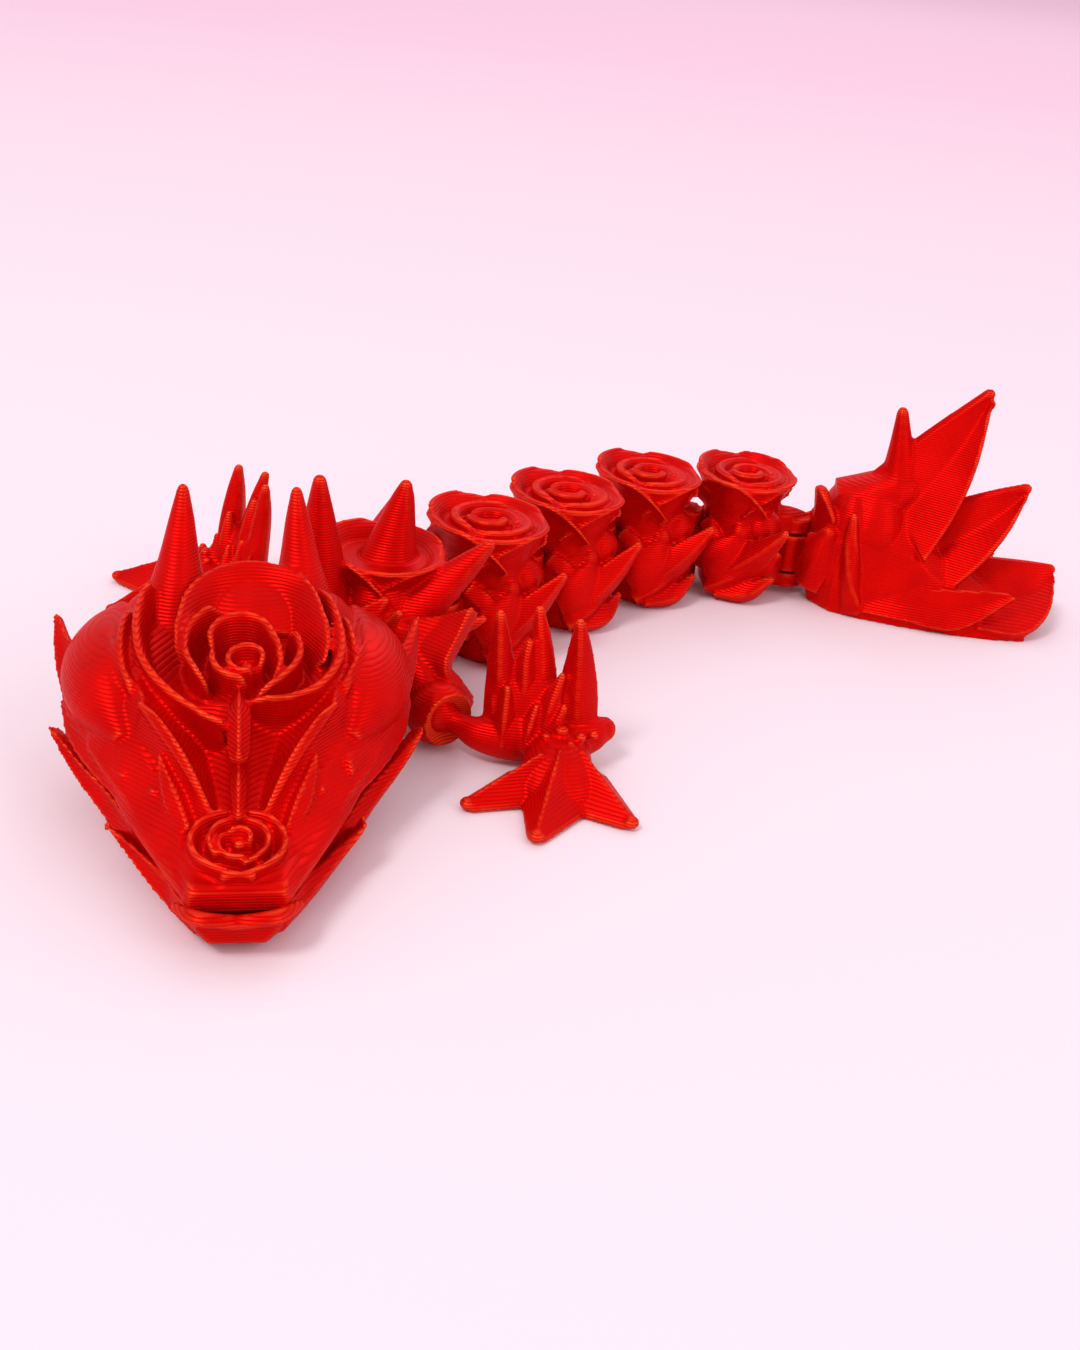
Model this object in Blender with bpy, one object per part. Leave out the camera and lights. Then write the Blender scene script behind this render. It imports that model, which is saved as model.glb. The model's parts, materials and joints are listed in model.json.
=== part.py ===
"""Articulated rose dragon toy, printed in place in one red silk plastic.

Ten loose pieces: head, lower jaw, chest, two front legs, four rose segments and the tail.
Lengths are in millimetres here and become metres where meshes and objects are made.
"""

import math

import bmesh
import bpy
from mathutils import Matrix, Vector

MM = 0.001

# Where the pieces lie: the neck pin, and the heading of each piece along the spine.
ORIGIN_SHIFT = Vector((6.734, 153.649, 0.0))
NECK_PIN = Vector((-31.6, 145.4, 0.0)) - ORIGIN_SHIFT
HEAD_HEADING = -77.85
CHEST_HEADING = 40.0
TAIL_HEADING = -3.0

# Links between the pieces: a pin in the fork of one, inside the ring of the next.
PIN_RADIUS = 1.1
RING_BORE = 1.45
LUG_RADIUS = 2.3
RING_LOW, RING_HIGH = 3.1, 8.1
FORK_LOW, FORK_HIGH = 0.8, 10.4
LINK_GAP = 0.35

# Head, measured back from the lip.
HEAD_LENGTH = 42.5
JAW_HINGE_S, JAW_HINGE_Z = 29.6, 3.7
JAW_HEEL_RADIUS = 3.4
MOUTH_Z, MOUTH_SLOPE = 3.9, 0.12
JAW_GAP = 0.35

# Chest and front legs.
CHEST_LENGTH = 25.4
CHEST_ROSE_X, CHEST_ROSE_RIM = 18.2, 16.0
SHOULDER_X, SHOULDER_Y, SHOULDER_Z = 14.5, 16.1, 3.8
BALL_RADIUS, SOCKET_BORE, SOCKET_RADIUS = 2.15, 2.5, 3.45
SOCKET_MOUTH = 55.0
RIGHT_LEG_SWING = 47.0

# Rose segments: name, heading, length between pins, rose radius, rim height.
SEGMENTS = (
    ("body_segment_1", 52.0, 14.4, 6.8, 17.0),
    ("body_segment_2", 54.0, 14.8, 6.7, 17.0),
    ("body_segment_3", 38.0, 14.8, 6.6, 17.0),
    ("body_segment_4", 5.0, 14.6, 6.6, 16.6),
)

# Many of the joined shapes only graze each other, which opens seams under the EXACT solver.
SOLVER = "MANIFOLD"

RED = (0.64, 0.006, 0.007, 1.0)


def clear_scene():
    for item in list(bpy.data.objects):
        bpy.data.objects.remove(item, do_unlink=True)


def make_collection(name):
    group = bpy.data.collections.new(name)
    bpy.context.scene.collection.children.link(group)
    return group


def red_plastic(name):
    material = bpy.data.materials.new(name + "_silk_plastic")
    material.use_nodes = True
    shader = material.node_tree.nodes["Principled BSDF"]
    shader.inputs["Base Color"].default_value = RED
    shader.inputs["Roughness"].default_value = 0.34
    shader.inputs["Metallic"].default_value = 0.15
    return material


def add_object(name, mesh, group):
    item = bpy.data.objects.new(name, mesh)
    group.objects.link(item)
    return item


def finish(mesh_data, name, group):
    """Turn a bmesh in millimetres into an object in metres, with its faces pointing out."""
    bmesh.ops.recalc_face_normals(mesh_data, faces=mesh_data.faces[:])
    bmesh.ops.scale(mesh_data, vec=Vector((MM, MM, MM)), verts=mesh_data.verts[:])
    mesh = bpy.data.meshes.new(name)
    mesh_data.to_mesh(mesh)
    mesh_data.free()
    mesh.shade_smooth()
    mesh.set_sharp_from_angle(angle=math.radians(38))
    return add_object(name, mesh, group)


def tool(mesh_data, name):
    """A helper solid that a Boolean modifier joins or cuts with; the build leaves it out."""
    item = finish(mesh_data, name, TOOLS)
    item.hide_render = True
    item.display_type = "WIRE"
    return item


def boolean(target, helper, operation):
    helper.parent = target
    modifier = target.modifiers.new(operation.lower() + "_" + helper.name, "BOOLEAN")
    modifier.operation = operation
    modifier.solver = SOLVER
    modifier.object = helper


def join(target, *helpers):
    for helper in helpers:
        boolean(target, helper, "UNION")


def cut(target, *helpers):
    for helper in helpers:
        boolean(target, helper, "DIFFERENCE")


def loft(rings):
    """Skin a run of unlike closed sections; a section of one point closes to a tip."""
    shape = bmesh.new()
    rows = [[shape.verts.new(point) for point in ring] for ring in rings]
    for row, following in zip(rows, rows[1:]):
        count = max(len(row), len(following))
        for i in range(count):
            j = (i + 1) % count
            corners = [row[i % len(row)], row[j % len(row)]]
            corners += [following[j % len(following)], following[i % len(following)]]
            unique = list(dict.fromkeys(corners))
            shape.faces.new(unique)
    for row in (rows[0], rows[-1]):
        if len(row) > 2:
            shape.faces.new(row)
    return shape


def drum(radius, low, high, x=0.0):
    """An upright cylinder on the spine."""
    shape = bmesh.new()
    bmesh.ops.create_cone(shape, cap_ends=True, segments=16, radius1=radius, radius2=radius,
                          depth=high - low, matrix=Matrix.Translation((x, 0, (low + high) / 2)))
    return shape


def box(low, high):
    shape = bmesh.new()
    low, high = Vector(low), Vector(high)
    size = high - low
    place = Matrix.Translation((low + high) / 2) @ Matrix.Diagonal((size.x, size.y, size.z, 1))
    bmesh.ops.create_cube(shape, size=1.0, matrix=place)
    return shape


def ball(radius, centre, segments=20):
    shape = bmesh.new()
    bmesh.ops.create_uvsphere(shape, u_segments=segments, v_segments=segments // 2,
                              radius=radius, matrix=Matrix.Translation(centre))
    return shape


def rod(start, end, radius1, radius2, sides=16):
    """A straight cylinder or cone between two points."""
    start, end = Vector(start), Vector(end)
    turn = (end - start).to_track_quat("Z", "Y").to_matrix().to_4x4()
    shape = bmesh.new()
    bmesh.ops.create_cone(shape, cap_ends=True, segments=sides, radius1=radius1,
                          radius2=radius2, depth=(end - start).length,
                          matrix=Matrix.Translation((start + end) / 2) @ turn)
    return shape


def limb(path, sides=10, flat=None):
    """A tapering limb: each path entry is x, y, z and its half sizes across and upward.

    `flat` is the direction of the first half size, for leaves that lie in a known plane.
    """
    points = [Vector(entry[:3]) for entry in path]
    rings = []
    for i, entry in enumerate(path):
        along = (points[min(i + 1, len(path) - 1)] - points[max(i - 1, 0)]).normalized()
        across = Vector(flat) if flat else along.cross(Vector((0, 0, 1)))
        if across.length < 0.1:
            across = Vector((0, 1, 0))
        across = (across - along * across.dot(along)).normalized()
        upward = across.cross(along).normalized()
        ring = []
        for k in range(sides):
            turn = 2 * math.pi * k / sides
            ring.append(points[i] + across * (entry[3] * math.cos(turn))
                        + upward * (entry[4] * math.sin(turn)))
        rings.append(ring)
    return loft(rings)


def mirrored(path):
    return [(entry[0], -entry[1], *entry[2:]) for entry in path]


def petal_ring(centre, radius, height, waviness, sag=0.0, petals=5, sides=24):
    """A level ring whose radius, and by `sag` its height, wave once for each petal."""
    ring = []
    for k in range(sides):
        turn = 2 * math.pi * k / sides
        wave = math.cos(petals * turn)
        reach = radius * (1 + waviness * wave)
        ring.append(Vector(centre) + Vector((reach * math.cos(turn), reach * math.sin(turn),
                                             height + sag * wave)))
    return ring


def rose(centre, radius, low, rim, root):
    """A rose cup: a flaring wavy wall, a hollow inside it and a raised bud in the hollow."""
    tall = rim - low
    rows = [
        (root, low, 0.0, 0.0),
        (root * 1.05, low + 0.2 * tall, 0.0, 0.0),
        (radius * 0.8, low + 0.55 * tall, 0.015, 0.0),
        (radius * 0.97, low + 0.88 * tall, 0.03, 0.1),
        (radius * 0.97, rim - 0.35, 0.035, 0.35),
        (radius * 0.84, rim - 0.45, 0.035, 0.3),
        (radius * 0.66, rim - 0.45 * tall, 0.02, 0.1),
        (radius * 0.56, rim - 0.42 * tall, 0.02, 0.0),
        (radius * 0.46, rim - 0.14 * tall, 0.03, 0.15),
        (radius * 0.2, rim - 0.2 * tall, 0.0, 0.0),
    ]
    rings = [petal_ring(centre, size, level, wave, sag=sag) for size, level, wave, sag in rows]
    return loft(rings)


def fork(target, x, reach, name):
    """Two lugs and the upright pin between them, on the axis at x."""
    side = 1 if reach > 0 else -1
    start = x - side * abs(reach)
    for label, low, high in (("lower", FORK_LOW, RING_LOW - LINK_GAP),
                             ("upper", RING_HIGH + LINK_GAP, FORK_HIGH)):
        ends = sorted((start, x))
        half = LUG_RADIUS * 0.86
        plate = box((ends[0], -half, low + 0.15), (ends[1], half, high - 0.15))
        join(target, tool(plate, name + "_" + label + "_plate"))
        join(target, tool(drum(LUG_RADIUS, low, high, x), name + "_" + label + "_lug"))
    join(target, tool(drum(PIN_RADIUS, FORK_LOW + 0.5, FORK_HIGH - 0.5, x), name + "_pin"))


def ring_link(target, reach, name):
    """The ring around the pin at x = 0, its neck toward the piece and its bore."""
    join(target, tool(drum(LUG_RADIUS, RING_LOW, RING_HIGH), name + "_ring"))
    neck = box((0.6, -1.5, RING_LOW + 0.3), (reach, 1.5, RING_HIGH - 0.3))
    join(target, tool(neck, name + "_neck"))
    cut(target, tool(drum(RING_BORE, RING_LOW - 1, RING_HIGH + 1), name + "_bore"))


def place(item, point, heading):
    item.location = Vector(point) * MM
    item.rotation_euler = (0.0, 0.0, math.radians(heading))


def step(point, heading, distance):
    turn = math.radians(heading)
    return Vector(point) + Vector((math.cos(turn), math.sin(turn), 0)) * distance


def barrel(x, half_length, half_width, top, low=0.0):
    """The rounded body under a rose."""
    levels = ((0.84, 0.0), (0.97, 0.09), (1.0, 0.35), (0.94, 0.62), (0.78, 0.86), (0.6, 1.0))
    rings = []
    for size, level in levels:
        height = low + level * (top - low)
        ring = []
        for k in range(18):
            turn = 2 * math.pi * k / 18
            ring.append(Vector((x + half_length * size * math.cos(turn),
                                half_width * size * math.sin(turn), height)))
        rings.append(ring)
    return loft(rings)


# ---------------------------------------------------------------- head and jaw


def head_point(s, v, z):
    """A point of the head, s back from the lip and v across."""
    return Vector((HEAD_LENGTH - s, v, z))


def head_path(entries):
    return [(HEAD_LENGTH - entry[0], *entry[1:]) for entry in entries]


def mouth_height(s):
    return MOUTH_Z + MOUTH_SLOPE * s


def skull():
    """Sections from the lip back: s, half width below, half width, side height and top."""
    stations = (
        (0.0, 3.7, 3.9, 5.3, 6.5),
        (3.0, 4.6, 5.0, 5.9, 7.4),
        (8.0, 6.6, 7.4, 7.2, 9.6),
        (13.0, 8.6, 10.4, 8.4, 12.2),
        (18.0, 10.6, 13.2, 9.4, 14.2),
        (24.0, 12.2, 15.0, 10.4, 15.2),
        (30.0, 12.6, 15.4, 11.4, 16.4),
        (35.0, 11.4, 14.0, 12.4, 17.4),
        (38.6, 8.6, 10.6, 12.8, 16.6),
    )
    rings = []
    for s, below, wide, side, top in stations:
        low = mouth_height(s)
        half = [(0.0, low), (below, low), (wide, side), (wide * 0.74, (side + 2 * top) / 3)]
        half += [(wide * 0.36, top - 0.2), (0.0, top)]
        other = [(-v, z) for v, z in half[-2:0:-1]]
        rings.append([head_point(s, v, z) for v, z in half + other])
    return loft(rings)


def crown_rose():
    """The large rose on the crown, tipped forward."""
    shape = rose((0, 0, 0), 9.3, -1.5, 4.0, 7.4)
    tip = Matrix.Rotation(math.radians(17), 4, "Y")
    bmesh.ops.transform(shape, matrix=Matrix.Translation(head_point(25.2, 0, 14.2)) @ tip,
                        verts=shape.verts[:])
    return shape


def nose_rose():
    shape = rose((0, 0, 0), 3.9, -1.0, 1.7, 3.3)
    tip = Matrix.Rotation(math.radians(15), 4, "Y")
    bmesh.ops.transform(shape, matrix=Matrix.Translation(head_point(4.3, 0, 7.3)) @ tip,
                        verts=shape.verts[:])
    return shape


def make_head():
    head = finish(skull(), "head", PARTS)
    join(head, tool(crown_rose(), "crown_rose"), tool(nose_rose(), "nose_rose"))
    horn = ((29.8, 6.4, 12.0, 3.9, 3.9), (33.2, 5.9, 17.5, 3.1, 3.1), (35.2, 5.7, 20.8, 2.3, 2.3),
            (36.9, 5.5, 24.2, 1.35, 1.35), (38.0, 5.4, 27.0, 0.5, 0.5))
    ear = ((19.0, 12.0, 9.0, 1.8, 2.6), (26.0, 14.6, 10.4, 1.5, 3.4), (32.0, 16.5, 12.0, 1.0, 2.4),
           (36.1, 17.35, 14.0, 0.3, 0.4))
    brow = ((16.6, 8.4, 13.2, 1.5, 1.2), (12.0, 5.4, 11.2, 1.2, 1.0), (8.4, 2.6, 9.2, 0.8, 0.7))
    for side, turned in (("left", list), ("right", mirrored)):
        join(head, tool(limb(turned(head_path(horn)), 14), side + "_horn"))
        leaf = limb(turned(head_path(ear)), 10, flat=(0, 1, 0))
        join(head, tool(leaf, side + "_ear_leaf"))
        join(head, tool(limb(turned(head_path(brow)), 8), side + "_brow"))
    bridge = limb(head_path(((19.0, 0, 13.9, 0.9, 1.3), (13.0, 0, 12.0, 0.9, 1.1),
                             (8.0, 0, 9.6, 0.7, 0.9))), 8)
    join(head, tool(bridge, "nose_bridge"))
    heel = rod(head_point(JAW_HINGE_S, -13.6, JAW_HINGE_Z), head_point(JAW_HINGE_S, 13.6, JAW_HINGE_Z),
               JAW_HEEL_RADIUS + JAW_GAP, JAW_HEEL_RADIUS + JAW_GAP, 28)
    cut(head, tool(heel, "jaw_heel_space"))
    nape = box(head_point(39.6, -5.6, 0.8), head_point(33.8, 5.6, 14.0))
    join(head, tool(nape, "nape"))
    for side in (-1, 1):
        name = "left" if side > 0 else "right"
        tall = (JAW_HINGE_Z + 5.6) / 2
        cheek = box(head_point(JAW_HINGE_S + 1.8, side * 8 - 1, JAW_HINGE_Z),
                    head_point(JAW_HINGE_S - 1.8, side * 8 + 1, JAW_HINGE_Z + tall))
        knuckle = rod(head_point(JAW_HINGE_S, side * 8 - 1, JAW_HINGE_Z),
                      head_point(JAW_HINGE_S, side * 8 + 1, JAW_HINGE_Z), 2.2, 2.2, 20)
        join(head, tool(cheek, name + "_jaw_cheek"), tool(knuckle, name + "_jaw_knuckle"))
    bore = rod(head_point(JAW_HINGE_S, -9.5, JAW_HINGE_Z), head_point(JAW_HINGE_S, 9.5, JAW_HINGE_Z),
               RING_BORE, RING_BORE, 20)
    cut(head, tool(bore, "jaw_pin_bore"))
    fork(head, 0.0, -3.4, "neck")
    place(head, NECK_PIN, HEAD_HEADING)
    return head


def jaw_plate():
    """Sections of the lower jaw: s, half width at the floor, half width at the top, underside."""
    stations = (
        (0.1, 2.6, 3.6, 2.2),
        (1.0, 2.8, 3.9, 0.4),
        (4.0, 4.2, 5.2, 0.0),
        (9.0, 6.4, 7.2, 0.0),
        (14.0, 8.6, 9.4, 0.0),
        (20.0, 10.8, 11.4, 0.0),
        (26.0, 12.0, 12.2, 0.2),
        (29.6, 12.2, 12.2, JAW_HINGE_Z - JAW_HEEL_RADIUS),
    )
    rings = []
    for s, below, wide, low in stations:
        top = min(mouth_height(s) - JAW_GAP, JAW_HINGE_Z + JAW_HEEL_RADIUS)
        half = [(0.0, low), (below, low), (wide, (low + top) / 2), (wide, top), (0.0, top)]
        other = [(-v, z) for v, z in half[-2:0:-1]]
        rings.append([head_point(s, v, z) for v, z in half + other])
    return loft(rings)


def make_jaw():
    """Built in the head's frame, then moved so that its origin lies on the jaw hinge."""
    back = Vector((JAW_HINGE_S - HEAD_LENGTH, 0, -JAW_HINGE_Z))

    def settle(shape):
        bmesh.ops.translate(shape, vec=back, verts=shape.verts[:])
        return shape

    jaw = finish(settle(jaw_plate()), "lower_jaw", PARTS)
    heel = rod(head_point(JAW_HINGE_S, -11.7, JAW_HINGE_Z), head_point(JAW_HINGE_S, 11.7, JAW_HINGE_Z),
               JAW_HEEL_RADIUS, JAW_HEEL_RADIUS, 28)
    join(jaw, tool(settle(heel), "jaw_heel"))
    upper_leaf = ((7.0, 6.0, 2.4, 1.6, 2.0), (13.0, 9.8, 3.0, 1.6, 2.6), (19.0, 13.2, 4.2, 1.5, 2.2),
                  (25.2, 17.5, 8.0, 0.3, 0.4))
    lower_leaf = ((2.0, 4.0, 2.0, 1.3, 1.4), (7.0, 7.4, 2.4, 1.3, 2.0), (13.6, 12.2, 4.8, 0.3, 0.4))
    for side, turned in (("left", list), ("right", mirrored)):
        for name, path in (("upper", upper_leaf), ("lower", lower_leaf)):
            leaf = limb(turned(head_path(path)), 10, flat=(0, 1, 0))
            join(jaw, tool(settle(leaf), side + "_" + name + "_jaw_leaf"))
    for side in (-1, 1):
        name = "left" if side > 0 else "right"
        slot = box(head_point(34.0, side * 8 - 1.35, -1.0), head_point(26.6, side * 8 + 1.35, 9.0))
        cut(jaw, tool(settle(slot), name + "_jaw_slot"))
    pin = rod(head_point(JAW_HINGE_S, -10.2, JAW_HINGE_Z), head_point(JAW_HINGE_S, 10.2, JAW_HINGE_Z),
              PIN_RADIUS, PIN_RADIUS, 20)
    join(jaw, tool(settle(pin), "jaw_pin"))
    place(jaw, NECK_PIN, HEAD_HEADING)
    turn = Matrix.Rotation(math.radians(HEAD_HEADING), 4, "Z")
    jaw.location = (NECK_PIN + turn @ (-back)) * MM
    return jaw


# ---------------------------------------------------------------- chest and legs


def make_chest():
    chest = finish(barrel(16.4, 6.1, 6.3, 11.5), "chest", PARTS)
    join(chest, tool(barrel(8.4, 5.4, 4.6, 12.8), "neck_barrel"))
    bloom = rose((CHEST_ROSE_X - 0.6, 0, 0), 6.6, 9.8, CHEST_ROSE_RIM, 3.9)
    join(chest, tool(bloom, "chest_rose"))
    crest = ((9.6, 0, 11.0, 3.2, 3.2), (9.4, 0, 16.0, 2.6, 2.6), (9.2, 0, 21.0, 1.6, 1.6),
             (9.1, 0, 25.3, 0.5, 0.5))
    spire = ((17.9, 0, 12.6, 3.0, 3.0), (18.6, 0, 17.0, 2.4, 2.4), (19.2, -0.2, 20.5, 1.4, 1.4),
             (19.6, -0.3, 23.2, 0.5, 0.5))
    join(chest, tool(limb(crest, 12), "neck_horn"), tool(limb(spire, 12), "rose_horn"))
    thorn = ((16.0, 4.4, 8.4, 2.6, 2.6), (20.0, 6.4, 12.6, 2.2, 2.2), (23.6, 7.9, 16.0, 1.3, 1.3),
             (26.0, 8.8, 18.5, 0.4, 0.4))
    shoulder = ((15.6, 3.0, 6.6, 3.6, 4.4), (15.2, 9.0, 6.0, 2.9, 3.6), (14.6, 14.2, 4.3, 2.2, 2.6))
    fin = ((16.6, 6.0, 8.6, 1.4, 1.8), (17.8, 11.0, 8.6, 1.2, 1.6), (19.4, 13.4, 10.6, 0.4, 0.4))
    for side, turned, sign in (("left", mirrored, -1), ("right", list, 1)):
        join(chest, tool(limb(turned(thorn), 10), side + "_thorn"))
        join(chest, tool(limb(turned(shoulder), 10), side + "_shoulder"))
        join(chest, tool(limb(turned(fin), 8), side + "_shoulder_fin"))
        centre = (SHOULDER_X, sign * SHOULDER_Y, SHOULDER_Z)
        join(chest, tool(ball(SOCKET_RADIUS, centre, 18), side + "_socket"))
        cut(chest, tool(ball(SOCKET_BORE, centre, 18), side + "_socket_hollow"))
        reach = 4.6
        wide = reach * math.tan(math.radians(SOCKET_MOUTH))
        far = (SHOULDER_X, sign * (SHOULDER_Y + reach), SHOULDER_Z)
        cut(chest, tool(rod(centre, far, 0.02, wide, 20), side + "_socket_mouth"))
    ring_link(chest, 5.0, "chest")
    fork(chest, CHEST_LENGTH, 4.4, "chest")
    place(chest, NECK_PIN, CHEST_HEADING)
    return chest


def toe(tip, left, right, crown):
    """A ridged toe: a floor triangle under one ridge that falls from the crown to the tip."""
    tip, left, right, crown = Vector(tip), Vector(left), Vector(right), Vector(crown)
    rings = []
    for share in (0.0, 0.5, 0.97):
        floor_left = left.lerp(tip, share)
        floor_right = right.lerp(tip, share)
        ridge = crown.lerp(tip + Vector((0, 0, 0.5)), share)
        rise = Vector((0, 0, 0.5))
        rings.append([floor_left, floor_right, floor_right + rise, ridge, floor_left + rise])
    return loft(rings)


def make_leg(name, flip):
    """A leg with its ball at the origin; `flip` is 1 for the left leg and -1 for the right."""

    def side(path):
        return [(entry[0], flip * entry[1], *entry[2:]) for entry in path]

    def corner(x, y, z):
        return (x, flip * y, z - SHOULDER_Z)

    leg = finish(ball(BALL_RADIUS, (0, 0, 0), 16), name, PARTS)
    arm = ((0.6, -0.35, 0.0, 1.0, 1.0), (2.4, -1.4, -0.2, 1.0, 1.0), (4.6, -2.2, -0.6, 1.3, 1.4),
           (8.0, -1.9, -1.0, 1.9, 2.3), (11.6, -1.0, -0.6, 2.1, 2.9), (15.4, -0.4, -0.8, 1.6, 2.6))
    join(leg, tool(limb(side(arm), 10), name + "_arm"))
    feathers = (
        ((6.8, -1.6, -1.4, 1.5, 1.5), (6.2, -0.8, 4.0, 1.35, 1.2), (5.5, -0.1, 12.0, 0.4, 0.4)),
        ((8.6, -0.6, -1.4, 1.4, 1.4), (8.6, 0.4, 4.4, 1.1, 1.1), (8.5, 0.9, 9.2, 0.4, 0.4)),
        ((10.4, -1.0, -1.4, 1.6, 1.5), (10.0, 0.2, 5.0, 1.4, 1.2), (9.4, 1.6, 12.2, 0.4, 0.4)),
        ((14.4, -0.6, -1.4, 1.6, 1.6), (14.2, -0.2, 5.0, 1.3, 1.2), (13.6, 0.2, 11.9, 0.4, 0.4)),
        ((7.6, -2.0, -1.4, 1.3, 1.3), (7.6, -1.6, 2.2, 1.0, 1.0), (7.6, -1.4, 5.2, 0.35, 0.35)),
        ((11.8, -2.2, -1.4, 1.5, 1.4), (11.7, -1.8, 1.8, 1.1, 1.0), (11.6, -1.6, 4.4, 0.35, 0.35)),
    )
    for number, path in enumerate(feathers, 1):
        join(leg, tool(limb(side(path), 8, flat=(1, 0, 0)), f"{name}_feather_{number}"))
    crown = corner(12.8, -6.6, 4.6)
    toes = (
        (corner(3.8, -12.6, 0), corner(9.4, -4.4, 0), corner(10.6, -10.9, 0)),
        (corner(11.4, -17.5, 0), corner(9.9, -10.4, 0), corner(15.9, -11.4, 0)),
        (corner(21.3, -13.0, 0), corner(15.4, -12.0, 0), corner(16.8, -4.6, 0)),
    )
    for number, (tip, floor_left, floor_right) in enumerate(toes, 1):
        join(leg, tool(toe(tip, floor_left, floor_right, crown), f"{name}_toe_{number}"))
    ankle = ((12.8, -7.6, -2.0, 2.6, 1.75), (12.8, -4.4, -1.6, 3.2, 2.15), (12.8, -0.8, -0.9, 2.8, 2.4))
    heel = ((14.0, -1.2, -1.4, 1.8, 1.8), (16.6, 0.2, -1.2, 1.4, 1.4), (18.6, 0.6, -0.8, 0.6, 0.6))
    join(leg, tool(limb(side(ankle), 10), name + "_ankle"), tool(limb(side(heel), 8), name + "_heel"))
    base = step(step(NECK_PIN, CHEST_HEADING, SHOULDER_X), CHEST_HEADING - 90 * flip, SHOULDER_Y)
    heading = 0.0 if flip > 0 else 2 * CHEST_HEADING + RIGHT_LEG_SWING
    place(leg, base + Vector((0, 0, SHOULDER_Z)), heading)
    return leg


# ---------------------------------------------------------------- body and tail


def make_segment(name, length, radius, rim):
    middle = length / 2
    segment = finish(barrel(middle, middle - 2.75, 6.4, 12.2), name, PARTS)
    join(segment, tool(rose((middle, 0, 0), radius, 10.2, rim, 3.7), name + "_rose"))
    thorn = ((middle - 2.0, 3.4, 3.2, 2.3, 2.8), (middle + 1.2, 6.0, 6.2, 1.6, 2.2),
             (middle + 3.6, 7.6, 9.0, 1.1, 1.4), (middle + 4.8, 8.3, 11.2, 0.4, 0.5))
    for side, turned in (("left", list), ("right", mirrored)):
        join(segment, tool(limb(turned(thorn), 8), f"{name}_{side}_thorn"))
    ring_link(segment, middle - 2.0, name)
    fork(segment, length, middle - 2.0, name)
    return segment


def ridged_leaf(name, keel, edge):
    """A leaf with a ridge along its keel, closing to a point; `edge` is its free edge."""
    rings = []
    for top, rim in zip(keel, edge):
        top, rim = Vector(top), Vector(rim)
        other = Vector((rim.x, -rim.y, rim.z))
        under = (rim + other) / 2 + Vector((0.6, 0, -0.6))
        rings.append([rim, top, other, under])
    return tool(loft(rings), name)


def make_tail():
    tail = finish(barrel(8.2, 5.4, 7.0, 12.0), "tail", PARTS)
    bud = [petal_ring((7.4, 0, 0), size, level, 0.03)
           for size, level in ((4.2, 9.6), (5.6, 13.0), (6.1, 16.0), (5.0, 17.0))]
    join(tail, tool(loft(bud), "tail_bud"))
    core = ((6.0, 0, 6.2, 7.0, 7.0), (12.0, 0, 7.2, 8.6, 8.3), (17.0, 0, 5.6, 9.4, 6.6),
            (22.0, 0, 3.8, 10.0, 4.9), (27.0, 0, 2.2, 9.8, 3.2), (30.4, 0, 1.6, 9.0, 2.4))
    join(tail, tool(limb(core, 16), "tail_core"))
    tall = ridged_leaf("tall_leaf",
                       ((8.9, 0, 12.6), (12.8, 0, 20.6), (17.4, 0, 25.6), (21.6, 0, 29.5)),
                       ((14.4, 7.6, 7.6), (18.0, 5.6, 14.0), (20.8, 3.2, 21.0), (22.0, 0.3, 29.0)))
    middle = ridged_leaf("middle_leaf",
                         ((14.0, 0, 11.0), (20.0, 0, 14.6), (25.0, 0, 16.6), (29.0, 0, 17.8)),
                         ((18.0, 8.0, 4.6), (23.0, 5.8, 8.6), (26.8, 3.0, 13.0), (29.2, 0.3, 17.3)))
    low = ridged_leaf("low_leaf",
                      ((20.0, 0, 5.0), (26.0, 0, 6.2), (31.0, 0, 6.8), (35.0, 0, 7.2)),
                      ((24.0, 8.2, 2.8), (28.4, 8.0, 3.2), (32.0, 5.4, 4.6), (35.2, 0.3, 6.8)))
    join(tail, tall, middle, low)
    spine = ((12.2, 0, 12.0, 2.6, 2.6), (12.0, 0, 19.0, 2.0, 2.0), (11.6, 0, 22.8, 1.2, 1.2),
             (11.2, 0, 26.4, 0.45, 0.45))
    join(tail, tool(limb(spine, 10), "tail_thorn"))
    pillar = ((8.6, 6.2, 1.0, 2.0, 1.6), (7.6, 6.6, 7.0, 1.0, 1.0), (6.8, 5.6, 14.6, 0.4, 0.4))
    side_leaf = ((19.0, 7.2, 2.6, 1.6, 2.2), (25.0, 8.2, 3.6, 1.4, 2.0), (29.6, 7.4, 6.2, 0.3, 0.4))
    for side, turned in (("left", list), ("right", mirrored)):
        join(tail, tool(limb(turned(pillar), 8), side + "_tail_pillar"))
        join(tail, tool(limb(turned(side_leaf), 8), side + "_tail_leaf"))
    cut(tail, tool(box((-20, -30, -10), (50, 30, 0)), "floor_trim"))
    ring_link(tail, 5.0, "tail")
    return tail


clear_scene()
PARTS = make_collection("rose_dragon")
TOOLS = make_collection("rose_dragon_cutters")

pieces = [make_head(), make_jaw(), make_chest(), make_leg("left_leg", 1), make_leg("right_leg", -1)]
pin = step(NECK_PIN, CHEST_HEADING, CHEST_LENGTH)
for segment_name, heading, length, radius, rim in SEGMENTS:
    piece = make_segment(segment_name, length, radius, rim)
    place(piece, pin, heading)
    pieces.append(piece)
    pin = step(pin, heading, length)
tail_piece = make_tail()
place(tail_piece, pin, TAIL_HEADING)
pieces.append(tail_piece)
for piece in pieces:
    piece.data.materials.append(red_plastic(piece.name))
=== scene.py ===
"""Looks of the articulated rose dragon: ten loose pieces of red silk plastic, as printed.

Each piece is a heap of closed shapes, in millimetres in the piece's own frame: x runs along the
piece, y across it and z up. The heap is fused into one skin, its joint holes are cut, and it
stands for the CAD node of the same name. Places on the head and jaw are given as s, v, z: s back
from the lip, v across and z up.
"""

import json
import math

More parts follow.
